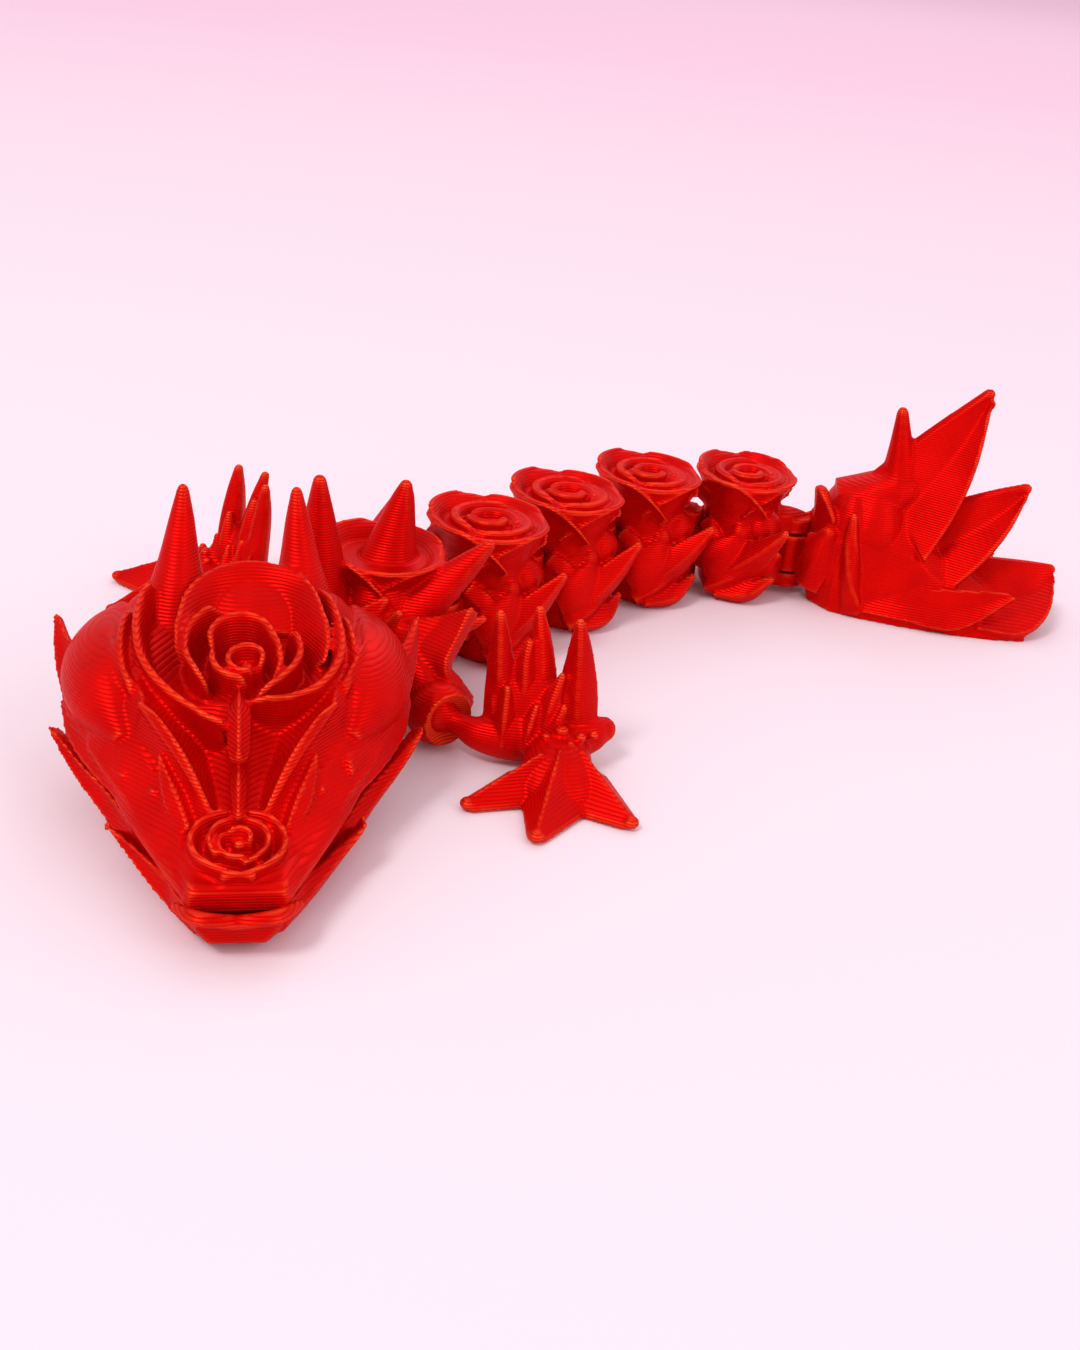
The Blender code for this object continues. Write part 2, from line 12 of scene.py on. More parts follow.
import bmesh
import bpy
import numpy as np
from mathutils import Matrix, Vector


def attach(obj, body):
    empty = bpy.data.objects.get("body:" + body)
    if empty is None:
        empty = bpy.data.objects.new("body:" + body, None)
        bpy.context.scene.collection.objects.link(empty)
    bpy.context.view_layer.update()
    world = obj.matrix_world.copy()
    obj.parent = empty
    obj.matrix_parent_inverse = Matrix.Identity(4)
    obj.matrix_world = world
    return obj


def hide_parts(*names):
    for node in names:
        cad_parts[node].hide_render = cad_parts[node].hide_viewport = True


MM = 0.001
VOXEL = 0.24
SMOOTH_ROUNDS = 2
LAYER = 0.28

# Joint hardware, the same on every piece.
PIN_RADIUS = 1.1
RING_BORE = 1.45
LUG_RADIUS = 2.3
RING_LOW, RING_HIGH = 3.1, 8.1
FORK_LOW, FORK_HIGH = 0.8, 10.4
LINK_GAP = 0.35
BALL_RADIUS, SOCKET_BORE, SOCKET_RADIUS = 2.15, 2.5, 3.45
# A socket opens outward in a cone of this half angle, over this length.
SOCKET_OPEN, SOCKET_REACH = 55, 4.6

# The head, its jaw hinge and the headings in which the pieces lie.
HEAD_LENGTH = 42.5
JAW_HINGE_S, JAW_HINGE_Z, JAW_HEEL = 29.6, 3.7, 3.4
KNUCKLE_Y, KNUCKLE_HALF = 8.0, 1.0
HEAD_HEADING = -77.85
CHEST_HEADING = 40.0
# Each body piece's heading and length, and its rose's radius, rim height and spin.
SEGMENTS = (
    (52.0, 14.4, 7.0, 17.0, 0.0),
    (54.0, 14.8, 6.9, 17.0, 0.0),
    (38.0, 14.8, 6.8, 17.0, 12.0),
    (5.0, 14.6, 6.8, 16.6, 50.0),
)
TAIL_HEADING = -3.0
CHEST_LENGTH = 25.4
SHOULDER_X, SHOULDER_Y, SHOULDER_Z = 14.5, 16.1, 3.8
# Roses are a little shorter along the body than across, so that neighbours can bend.
ROSE_SQUEEZE = 0.92
# The right leg is the left one mirrored across the chest and swung back by 47 degrees.
LEFT_LEG_HEADING, RIGHT_LEG_HEADING = 0.0, 2 * CHEST_HEADING + 47.0

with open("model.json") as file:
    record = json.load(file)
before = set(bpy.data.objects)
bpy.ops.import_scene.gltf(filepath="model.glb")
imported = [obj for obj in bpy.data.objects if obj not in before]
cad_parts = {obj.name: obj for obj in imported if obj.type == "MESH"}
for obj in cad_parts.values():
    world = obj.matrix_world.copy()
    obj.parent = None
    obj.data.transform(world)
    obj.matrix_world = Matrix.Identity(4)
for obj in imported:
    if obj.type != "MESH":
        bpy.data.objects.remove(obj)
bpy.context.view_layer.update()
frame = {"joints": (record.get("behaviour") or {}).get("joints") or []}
JOINT_AT = {j["child"]: Vector(j["pos_m"]) / MM for j in frame["joints"]}


# ---- shapes ----


def spline(points, steps=5):
    """A smooth run through given points, each any number of values long."""
    rows = [np.array(point, float) for point in points]
    rows = [2 * rows[0] - rows[1]] + rows + [2 * rows[-1] - rows[-2]]
    out = []
    for a, b, c, d in zip(rows, rows[1:], rows[2:], rows[3:]):
        for k in range(steps):
            t = k / steps
            out.append(0.5 * (2 * b + (c - a) * t + (2 * a - 5 * b + 4 * c - d) * t * t
                              + (3 * b - 3 * c + d - a) * t ** 3))
    out.append(rows[-2])
    return out


def arc(centre, radii, start, end, count):
    """Points along a turn from start to end degrees, whose radius runs smoothly through radii."""
    reach = spline([(radius,) for radius in radii], 12)
    points = []
    for k in range(count):
        share = k / (count - 1)
        radius = reach[round(share * (len(reach) - 1))][0]
        turn = math.radians(start + (end - start) * share)
        points.append((centre[0] + radius * math.cos(turn), centre[1] + radius * math.sin(turn)))
    return points


class Form:
    """Closed shapes, in millimetres, that are fused later into one skin."""

    def __init__(self):
        self.points = []
        self.faces = []

    def cap(self, first, count):
        """Close one end of a loft with a fan."""
        ring = [Vector(self.points[first + k]) for k in range(count)]
        self.points.append(tuple(sum(ring, Vector()) / count))
        centre = len(self.points) - 1
        self.faces += [(first + k, first + (k + 1) % count, centre) for k in range(count)]

    def loft(self, rings):
        """A closed shape through rings with the same number of points."""
        first, count = len(self.points), len(rings[0])
        for ring in rings:
            self.points += [tuple(point) for point in ring]
        for i in range(len(rings) - 1):
            row = first + i * count
            for k in range(count):
                after = (k + 1) % count
                self.faces.append((row + k, row + after, row + count + after, row + count + k))
        self.cap(first, count)
        self.cap(first + (len(rings) - 1) * count, count)

    def limb(self, path, power=2.0, flat=None, sides=20, blunt=True):
        """A tapering limb: x, y, z and its half sizes across and upward; power 1 gives ridges.

        `flat` is the way across where the limb stands upright, and `blunt` rounds off its tip.
        """
        rows = spline(path)
        places = [Vector(row[:3]) for row in rows]
        sizes = [(max(row[3], 0.12), max(row[4], 0.12)) for row in rows]
        rings = []
        for i, place in enumerate(places):
            along = (places[min(i + 1, len(rows) - 1)] - places[max(i - 1, 0)]).normalized()
            across = Vector(flat) if flat else along.cross(Vector((0, 0, 1)))
            if across.length < 0.1:
                across = Vector((0, 1, 0))
            across = (across - along * across.dot(along)).normalized()
            upward = across.cross(along).normalized()
            rings.append(oval(place, across * sizes[i][0], upward * sizes[i][1], power, sides))
        if blunt:
            along = (places[-1] - places[-2]).normalized()
            reach = min(sizes[-1])
            middle = places[-1]
            for turn in (35, 65, 85):
                lift = along * reach * math.sin(math.radians(turn))
                shrink = math.cos(math.radians(turn))
                rings.append([middle + lift + (point - middle) * shrink
                              for point in rings[len(rows) - 1]])
        self.loft(rings)

    def ball(self, centre, size, sides=20):
        """A ball, or with three sizes an egg."""
        size = Vector((size, size, size)) if isinstance(size, (int, float)) else Vector(size)
        rings = []
        for i in range(1, sides // 2):
            polar = math.pi * i / (sides // 2)
            ring = []
            for k in range(sides):
                turn = 2 * math.pi * k / sides
                way = Vector((math.sin(polar) * math.cos(turn),
                              math.sin(polar) * math.sin(turn), math.cos(polar)))
                ring.append(Vector(centre) + way * size)
            rings.append(ring)
        self.loft(rings)

    def drum(self, radius, low, high, x=0.0):
        """An upright cylinder on the midline."""
        across, upward = Vector((radius, 0, 0)), Vector((0, radius, 0))
        self.loft([oval(Vector((x, 0.0, z)), across, upward, 2, 32) for z in (low, high)])

    def rod(self, start, end, radius1, radius2, sides=32):
        """A cylinder or a cone between two points."""
        start, end = Vector(start), Vector(end)
        turn = (end - start).to_track_quat("Z", "Y")
        across, upward = turn @ Vector((1, 0, 0)), turn @ Vector((0, 1, 0))
        self.loft([oval(middle, across * size, upward * size, 2, sides)
                   for middle, size in ((start, radius1), (end, radius2))])

    def box(self, low, high):
        """A box between its lowest and its highest corner."""
        corners = ((low[0], low[1]), (high[0], low[1]), (high[0], high[1]), (low[0], high[1]))
        self.loft([[Vector((x, y, z)) for x, y in corners] for z in (low[2], high[2])])

    def wall(self, line, low, rim, centre, lean, thick, flare, place=None):
        """A petal: a wall over the plan line of its rim, its foot drawn in toward the centre.

        `rim` gives the top's height from the share along the line and the plan point, `flare`
        above 1 turns the top outward, and `place` turns plan points into x and y.
        """
        place = place or (lambda a, b: (a, b))
        middle = Vector((*place(*centre), 0))
        rings = []
        for i, point in enumerate(line):
            share = i / (len(line) - 1)
            here = Vector((*place(*point), 0))
            before = Vector((*place(*line[max(i - 1, 0)]), 0))
            after = Vector((*place(*line[min(i + 1, len(line) - 1)]), 0))
            outward = (after - before).cross(Vector((0, 0, 1))).normalized()
            inward = (middle - here).normalized()
            if outward.dot(inward) > 0:
                outward = -outward
            top = rim(share, *point)
            foot = low(share, *point) if callable(low) else low
            half = thick / 2 * (0.55 + 0.45 * math.sin(math.pi * share) ** 0.5)
            outer, inner = [], []
            for rise in (0.0, 0.35, 0.65, 0.88, 1.0):
                spot = here + inward * lean * (1 - rise ** flare)
                z = foot + (top - foot) * rise
                wide = half * (1.35 - 0.35 * rise)
                drop = 0.2 if rise == 1.0 else 0.0
                outer.append(Vector((spot.x, spot.y, z - drop)) + outward * wide)
                inner.append(Vector((spot.x, spot.y, z - drop)) - outward * wide)
            crest = Vector((here.x, here.y, top + 0.12))
            rings.append(outer + [crest] + inner[::-1])
        self.loft(rings)

    def plate(self, crest, root, thick, bow):
        """A leaf-like plate between its free edge and its root, bowed outward in the middle."""
        tops, roots = spline(crest), spline(root)
        rings = []
        for i, (top, low) in enumerate(zip(tops, roots)):
            top, low = Vector(top), Vector(low)
            before = Vector(tops[max(i - 1, 0)])
            after = Vector(tops[min(i + 1, len(tops) - 1)])
            normal = (top - low).cross(after - before)
            if normal.length < 1e-6:
                normal = Vector((0, 1, 0))
            normal = normal.normalized() * thick / 2
            middle = top.lerp(low, 0.5) + normal * bow
            rings.append([top + normal * 0.75, middle + normal, low + normal,
                          low - normal, middle - normal, top - normal * 0.75])
        self.loft(rings)


def oval(middle, across, upward, power, sides):
    """A ring: round at power 2, a diamond with four ridges at power 1."""
    ring = []
    for k in range(sides):
        turn = 2 * math.pi * k / sides
        c, s = math.cos(turn), math.sin(turn)
        c = math.copysign(abs(c) ** (2 / power), c)
        s = math.copysign(abs(s) ** (2 / power), s)
        ring.append(middle + across * c + upward * s)
    return ring


def flipped(path, side):
    """The path as it is for side 1, or on the other side of the piece for side -1."""
    return [(entry[0], side * entry[1], *entry[2:]) for entry in path]


def mirrored(path):
    return flipped(path, -1)


def linked(name, data):
    """A new object with this data, in the scene."""
    item = bpy.data.objects.new(name, data)
    bpy.context.scene.collection.objects.link(item)
    return item


def evaluated(item, name):
    """The item's mesh after its modifiers, with the item and its old mesh removed."""
    bpy.context.view_layer.update()
    graph = bpy.context.evaluated_depsgraph_get()
    mesh = bpy.data.meshes.new_from_object(item.evaluated_get(graph))
    mesh.name = name
    old = item.data
    bpy.data.objects.remove(item)
    bpy.data.meshes.remove(old)
    return mesh


def object_of(form, name):
    """The form's shapes as one object, still unfused, with their faces turned outward."""
    mesh = bpy.data.meshes.new(name)
    mesh.from_pydata(form.points, [], form.faces)
    skin = bmesh.new()
    skin.from_mesh(mesh)
    bmesh.ops.recalc_face_normals(skin, faces=skin.faces[:])
    skin.to_mesh(mesh)
    skin.free()
    return linked(name, mesh)


def keep_largest_shell(mesh):
    """Drop what the fusing leaves closed off inside the skin."""
    skin = bmesh.new()
    skin.from_mesh(mesh)
    unseen = set(skin.verts)
    shells = []
    while unseen:
        shell, edge = set(), [unseen.pop()]
        while edge:
            vert = edge.pop()
            shell.add(vert)
            for link in vert.link_edges:
                other = link.other_vert(vert)
                if other in unseen:
                    unseen.remove(other)
                    edge.append(other)
        shells.append(shell)
    shells.sort(key=len)
    loose = [vert for shell in shells[:-1] for vert in shell]
    bmesh.ops.delete(skin, geom=loose, context="VERTS")
    skin.to_mesh(mesh)
    skin.free()


def fuse(form, name, cuts=None):
    """One skin over the whole form, with the joint holes and gaps cut from it."""
    item = object_of(form, name + "_shapes")
    remesh = item.modifiers.new("fuse", "REMESH")
    remesh.mode = "VOXEL"
    remesh.voxel_size = VOXEL
    remesh.use_smooth_shade = True
    smooth = item.modifiers.new("soften", "SMOOTH")
    smooth.factor = 0.5
    smooth.iterations = SMOOTH_ROUNDS
    mesh = evaluated(item, name)
    keep_largest_shell(mesh)
    item = linked(name, mesh)
    if cuts:
        cutter = object_of(cuts, name + "_cutter")
        modifier = item.modifiers.new("cut", "BOOLEAN")
        modifier.operation = "DIFFERENCE"
        modifier.solver = "MANIFOLD"
        modifier.object = cutter
        mesh = evaluated(item, name + "_skin")
        bpy.data.objects.remove(cutter)
        keep_largest_shell(mesh)
        item = linked(name, mesh)
    return item


BLUR_ROUNDS, BLUR_SHARE = 3, 0.6


def mark_crests(mesh):
    """Store how sharply the skin bulges at each point; the material paints a highlight on the crests
    from it.

    The bulge is how far a point stands out from its neighbours, as a share of the voxel size,
    blurred over a few rings of neighbours.
    """
    count = len(mesh.vertices)
    places = np.empty(count * 3)
    normals = np.empty(count * 3)
    ends = np.empty(len(mesh.edges) * 2, dtype=int)
    mesh.vertices.foreach_get("co", places)
    mesh.vertices.foreach_get("normal", normals)
    mesh.edges.foreach_get("vertices", ends)
    places, normals = places.reshape(-1, 3), normals.reshape(-1, 3)
    first, second = ends.reshape(-1, 2).T
    links = np.bincount(ends, minlength=count)

    def around(values):
        total = np.bincount(first, values[second], count)
        total += np.bincount(second, values[first], count)
        return total / np.maximum(links, 1)

    bulge = np.zeros(count)
    for axis in range(3):
        bulge += (places[:, axis] - around(places[:, axis])) * normals[:, axis]
    for _ in range(BLUR_ROUNDS):
        bulge = (1 - BLUR_SHARE) * bulge + BLUR_SHARE * around(bulge)
    crest = mesh.attributes.new("crest", "FLOAT", "POINT")
    crest.data.foreach_set("value", bulge / (VOXEL * MM))


def ring_link(form, cuts, reach):
    """The ring around the pin at x = 0, its neck, and the bracts that cover them."""
    bract = ((2.2, 2.0, 3.2, 0.9, 0.8), (2.9, 2.5, 5.6, 1.1, 1.0), (2.3, 2.1, 8.2, 0.5, 0.5))
    for turned in (list, mirrored):
        form.limb(turned(bract), power=1.4, sides=12)
    form.drum(LUG_RADIUS, RING_LOW, RING_HIGH)
    neck = 1.5
    form.box((0.6, -neck, RING_LOW + 0.3), (reach, neck, RING_HIGH - 0.3))
    cuts.drum(RING_BORE, RING_LOW - 1, RING_HIGH + 1)


def fork(form, x, start):
    """Two lugs and the pin between them; the lugs' plates begin at start."""
    near, far = sorted((start, x))
    wide = LUG_RADIUS * 0.86
    for low, high in ((FORK_LOW, RING_LOW - LINK_GAP), (RING_HIGH + LINK_GAP, FORK_HIGH)):
        form.drum(LUG_RADIUS, low, high, x)
        form.box((near, -wide, low + 0.1), (far, wide, high - 0.1))
    form.drum(PIN_RADIUS, FORK_LOW + 0.5, FORK_HIGH - 0.5, x)
    way = 1 if x > start else -1
    leaf = ((start, 0, 10.6, 2.0, 1.0), (x - way * 1.2, 0, 10.7, 2.0, 0.9),
            (x + way * 1.5, 0, 10.5, 0.6, 0.4))
    form.limb(leaf, power=1.2, sides=16)


# ---- material ----


# Two tones that drift into each other, the painted glint on each layer's middle, the painted
# highlight on the crests and the gloss, and how far the painted glint and highlight take over.
DEEP_RED = (0.50, 0.0008, 0.0020, 1)
CLEAR_RED = (0.66, 0.0016, 0.0018, 1)
PAINTED_GLINT_RED = (0.80, 0.006, 0.002, 1)
PAINTED_CREST_HIGHLIGHT = (0.98, 0.085, 0.022, 1)
GLOSS_RED = (1.0, 0.10, 0.04, 1)
GLINT_SHARE, CREST_HIGHLIGHT_SHARE = 0.30, 0.75
# The bulge at which the painted orange highlight starts on a crest, and at which it is full.
CREST_FROM, CREST_FULL = 0.035, 0.13
METALLIC, PLASTIC_IOR = 0.55, 1.36
ROUGH_LEAST, ROUGH_SPREAD = 0.26, 0.20
# Noise, in waves a metre, and its share in a layer's place or relief.
DRIFT_SCALE, DRIFT_SHARE = 260.0, 0.07
GRAIN_SCALE, GRAIN_SHARE = 5200.0, 0.10
CLOUD_SCALE = 190.0
UNEVEN_SHARE = 0.25
# A bead's section gets squarer as the power falls; the bump's depth is in millimetres.
BEAD_POWER = 0.55
BUMP_STRENGTH, BUMP_DEPTH = 0.7, 0.06


def node(tree, kind, **values):
    """A new node; each value or link goes to the input of that name, or else to the property."""
    item = tree.nodes.new("ShaderNode" + kind)
    for key, value in values.items():
        if isinstance(value, bpy.types.NodeSocket):
            tree.links.new(value, item.inputs[key])
        elif key in item.inputs:
            item.inputs[key].default_value = value
        else:
            setattr(item, key, value)
    return item


def math_node(tree, operation, first, second=None):
    """The output of a Math node over two links or numbers."""
    item = node(tree, "Math", operation=operation)
    for slot, value in enumerate((first, second)):
        if isinstance(value, (int, float)):
            item.inputs[slot].default_value = value
        elif value is not None:
            tree.links.new(value, item.inputs[slot])
    return item.outputs[0]


def mix(tree, share, first, second):
    """The colour between two colours, the first of which may be a link."""
    item = node(tree, "Mix", data_type="RGBA")
    share_in, first_in, second_in = item.inputs[0], item.inputs[6], item.inputs[7]
    tree.links.new(share, share_in)
    second_in.default_value = second
    if isinstance(first, tuple):
        first_in.default_value = first
    else:
        tree.links.new(first, first_in)
    return item.outputs[2]


def new_material(name):
    """A material, its node tree, its shader, and where a point lies in the object."""
    material = bpy.data.materials.new(name)
    material.use_nodes = True
    tree = material.node_tree
    place = node(tree, "TexCoord").outputs["Object"]
    return material, tree, tree.nodes["Principled BSDF"], place


def silk_plastic():
    """Red silk filament: a pearly gloss broken up by the printed layers, with painted glints on them
    and painted highlights on the crests.
    """
    material, tree, shader, place = new_material("red_silk_plastic")
    link = tree.links.new
    split = node(tree, "SeparateXYZ", Vector=place)

    def times(first, second):
        return math_node(tree, "MULTIPLY", first, second)

    drift = node(tree, "TexNoise", Vector=place, Scale=DRIFT_SCALE, Detail=2.0)
    wobble = times(drift.outputs[0], DRIFT_SHARE * LAYER * MM)
    height = math_node(tree, "ADD", split.outputs["Z"], wobble)
    layers = math_node(tree, "DIVIDE", height, LAYER * MM)
    count = math_node(tree, "FLOOR", layers)
    within = math_node(tree, "FRACT", layers)
    hump = math_node(tree, "SINE", times(within, math.pi))
    bead = math_node(tree, "POWER", hump, BEAD_POWER)

    each = node(tree, "TexWhiteNoise", noise_dimensions="1D", W=count)
    uneven = times(each.outputs["Value"], UNEVEN_SHARE)
    relief = math_node(tree, "ADD", bead, uneven)

    grain = node(tree, "TexNoise", Vector=place, Scale=GRAIN_SCALE, Detail=3.0)
    fine = times(grain.outputs[0], GRAIN_SHARE)
    relief = math_node(tree, "ADD", relief, fine)

    bump = node(tree, "Bump", Height=relief, Strength=BUMP_STRENGTH,
                Distance=BUMP_DEPTH * MM)
    link(bump.outputs[0], shader.inputs["Normal"])

    cloud = node(tree, "TexNoise", Vector=place, Scale=CLOUD_SCALE, Detail=3.0)
    tone = node(tree, "ValToRGB", Fac=cloud.outputs[0])
    for stop, position, colour in zip(tone.color_ramp.elements, (0.3, 0.7), (DEEP_RED, CLEAR_RED)):
        stop.position = position
        stop.color = colour
    # Painted glint: the middle of every layer is painted a brighter red.
    tone_with_painted_glints = mix(tree, times(hump, GLINT_SHARE), tone.outputs[0], PAINTED_GLINT_RED)

    bulge = node(tree, "Attribute", attribute_name="crest")
    edge = node(tree, "MapRange", Value=bulge.outputs["Fac"])
    edge.inputs["From Min"].default_value = CREST_FROM
    edge.inputs["From Max"].default_value = CREST_FULL
    # Painted highlight: crests that bulge are painted orange toward the middle of each layer.
    tint = times(hump, CREST_HIGHLIGHT_SHARE)
    share = times(edge.outputs[0], tint)
    link(mix(tree, share, tone_with_painted_glints, PAINTED_CREST_HIGHLIGHT), shader.inputs["Base Color"])

    shader.inputs["Metallic"].default_value = METALLIC
    shader.inputs["IOR"].default_value = PLASTIC_IOR
    shader.inputs["Specular Tint"].default_value = GLOSS_RED
    patchy = times(cloud.outputs[0], ROUGH_SPREAD)
    link(math_node(tree, "ADD", patchy, ROUGH_LEAST), shader.inputs["Roughness"])
    return material


# ---- head ----


def head_spot(s, v):
    """A plan point given as s, v, in the head's own x and y."""
    return (HEAD_LENGTH - s, v)


def head_path(entries):
    """Entries that start with s, in the head's own x."""
    return [(HEAD_LENGTH - entry[0], *entry[1:]) for entry in entries]


def skull(form):
    """Sections from the lip back; each is half of a closed outline, as v, z pairs.

    In order: the midline, the nose bridge's foot, the trough beside it, the brow's crest, the
    eye hollow, the cheek's crest, the widest point, and the edge of the mouth.
    """
    stations = (
        (0.0, 6.0, (1.0, 6.0), (1.8, 6.0), (2.6, 6.0),
         (3.3, 6.0), (3.9, 5.9), (4.0, 5.0), (3.8, 4.1)),
        (0.5, 6.3, (1.0, 6.3), (1.8, 6.3), (2.6, 6.3),
         (3.3, 6.3), (4.0, 6.2), (4.4, 5.2), (4.1, 4.1)),
        (4.5, 6.9, (1.2, 6.9), (2.2, 6.9), (3.1, 6.9),
         (4.0, 6.9), (4.8, 6.7), (6.0, 5.9), (5.6, 4.5)),
        (7.4, 8.7, (0.7, 7.9), (1.6, 7.6), (2.4, 8.7),
         (3.2, 7.6), (4.9, 7.9), (7.2, 6.6), (6.7, 4.8)),
        (10.0, 10.5, (0.8, 9.1), (1.9, 8.6), (3.7, 10.9),
         (4.6, 8.8), (5.9, 8.9), (8.6, 7.3), (7.9, 5.1)),
        (12.8, 12.3, (0.9, 10.4), (2.4, 9.6), (5.5, 12.5),
         (6.4, 9.9), (7.3, 10.0), (10.2, 8.0), (9.4, 5.5)),
        (16.6, 15.1, (1.1, 12.4), (3.4, 11.4), (8.1, 14.3),
         (9.0, 11.7), (9.9, 11.2), (12.4, 8.8), (11.0, 5.9)),
        (18.6, 14.4, (1.5, 13.6), (4.5, 13.2), (8.6, 14.8),
         (9.8, 13.2), (10.8, 12.3), (13.4, 9.2), (11.9, 6.2)),
        (24.0, 14.2, (2.0, 14.2), (5.5, 14.4), (9.4, 16.4),
         (10.8, 15.2), (12.2, 13.6), (13.8, 9.8), (12.8, 6.9)),
        (30.0, 15.6, (2.0, 15.7), (5.6, 16.0), (9.2, 17.4),
         (10.8, 16.0), (12.2, 14.2), (14.3, 10.6), (13.2, 7.7)),
        (35.0, 16.6, (2.0, 16.6), (5.2, 16.8), (8.4, 17.0),
         (10.0, 16.2), (12.0, 15.0), (13.2, 12.2), (11.6, 8.1)),
        (38.6, 15.6, (1.6, 15.5), (4.0, 15.3), (6.8, 15.1),
         (8.8, 14.6), (10.0, 13.6), (10.6, 11.6), (9.4, 8.6)),
    )
    rings = []
    for s, top, *pairs in stations:
        low = pairs[-1][1]
        half = [(0.0, top)] + pairs + [(pairs[-1][0] * 0.5, low), (0.0, low)]
        other = [(-v, z) for v, z in half[-2:0:-1]]
        rings.append([Vector((HEAD_LENGTH - s, v, z)) for v, z in half + other])
    form.loft(rings)


def crown_height(s):
    """The crown rose's rims lie in a plane that climbs toward the back, at about 17 degrees."""
    return 18.2 + 0.306 * (s - 25.2)


CROWN_PETALS = (
    # centre, turn, radii along it, lift over the rim plane, drop at the ends, lean, thickness
    ((24.2, 0.2), (-50, -172), (11.0, 9.6, 9.2, 9.4, 10.7), 0.1, 0.2, 1.2, 0.85),
    ((24.2, 0.2), (46, 176), (10.0, 9.1, 9.3, 9.1, 7.6), 0.2, 0.9, 1.2, 0.85),
    ((24.4, 0.0), (-62, -122), (11.2, 10.6, 10.7), -1.2, 0.9, 0.6, 0.8),
    ((24.4, 0.0), (62, 122), (10.8, 10.5, 10.8), -1.5, 0.9, 0.6, 0.8),
    ((26.4, 1.2), (-132, 126), (8.2, 6.6, 6.8, 7.1, 6.9, 6.4, 8.0), 0.4, 1.2, 2.6, 0.8),
    ((23.6, -0.3), (-152, -16), (5.3, 4.7, 4.6, 5.0), 0.1, 1.2, 0.6, 0.75),
    ((23.4, 0.3), (-108, 146), (2.7, 3.2, 3.2, 2.9, 4.8), 0.3, 1.0, 0.4, 0.75),
    ((22.4, 0.6), (52, 172), (5.0, 4.9, 4.6, 5.2), 0.1, 1.2, 0.6, 0.75),
    ((22.0, 0.6), (-74, -182), (3.0, 3.1, 3.0), 0.0, 0.9, 0.3, 0.7),
    ((21.4, 0.8), (-200, 110), (1.1, 1.7, 1.8, 1.7, 1.0), -0.1, 0.6, 0.2, 0.65),
)


def ends_down(share, drop, run):
    """How far a rim sinks at the ends of its petal, by up to drop, over a share of its length."""
    near = min(share, 1 - share)
    return drop * max(0.0, 1 - near / run) ** 1.8


def head_petals(form, petals, plane, foot, count, run, flare):
    """Petals on the head; each row is as in CROWN_PETALS, with its lift over the plane."""
    for centre, turn, radii, lift, drop, lean, thick in petals:

        def rim(share, s, v, lift=lift, drop=drop):
            return plane(s) + lift - ends_down(share, drop, run)

        line = arc(centre, radii, *turn, count)
        form.wall(line, foot, rim, centre, lean, thick, flare, head_spot)


def crown_rose(form):
    """The big rose on the head, with the bowl and the bud that lie inside it."""

    def foot(share, s, v):
        return crown_height(s) - 4.6

    head_petals(form, CROWN_PETALS, crown_height, foot, 44, 0.14, 1.3)
    dish = [(33.0, 1.2, 17.5, 6.4, 2.4), (30.6, 1.2, 16.4, 6.0, 2.2), (28.0, 1.2, 15.2, 5.0, 1.6)]
    form.limb(head_path(dish), blunt=False)
    form.ball((HEAD_LENGTH - 21.3, 0.7, 14.9), (1.2, 1.1, 1.3))


def nose_rose(form):
    """A small rose in a square plate, its rim crossing itself in a V at the front."""
    corners = ((7.4, 2.4, 6.9), (7.2, 3.4, 6.8), (4.4, 4.1, 6.8), (0.7, 3.9, 6.4))
    plate = [Vector((HEAD_LENGTH - s, v, z)) for s, v, z in corners]
    plate += [Vector((HEAD_LENGTH - s, -v, z)) for s, v, z in corners[::-1]]
    form.loft([[point - Vector((0, 0, 1.2)) for point in plate], plate])
    petals = (
        ((4.5, 0.0), (4, -200), (3.6, 3.9, 3.9, 3.7, 4.3), 8.5, 0.4, 0.5, 0.62),
        ((4.5, 0.0), (-4, 200), (3.6, 3.9, 3.9, 3.7, 4.3), 8.4, 0.4, 0.5, 0.62),
        ((4.6, 0.1), (-130, 175), (2.5, 2.5, 2.4, 2.6), 8.6, 0.5, 0.3, 0.55),
        ((4.4, 0.0), (150, 330), (1.8, 1.7, 1.5), 8.4, 0.5, 0.1, 0.5),
        ((4.7, 0.1), (-60, 120), (1.0, 1.0, 0.9), 8.7, 0.3, 0.1, 0.5),
    )

    def plane(s):
        return 0.17 * (s - 4.5)

    head_petals(form, petals, plane, 6.2, 36, 0.15, 1.1)
    form.ball((HEAD_LENGTH - 4.6, 0.1, 7.6), 0.55, sides=12)


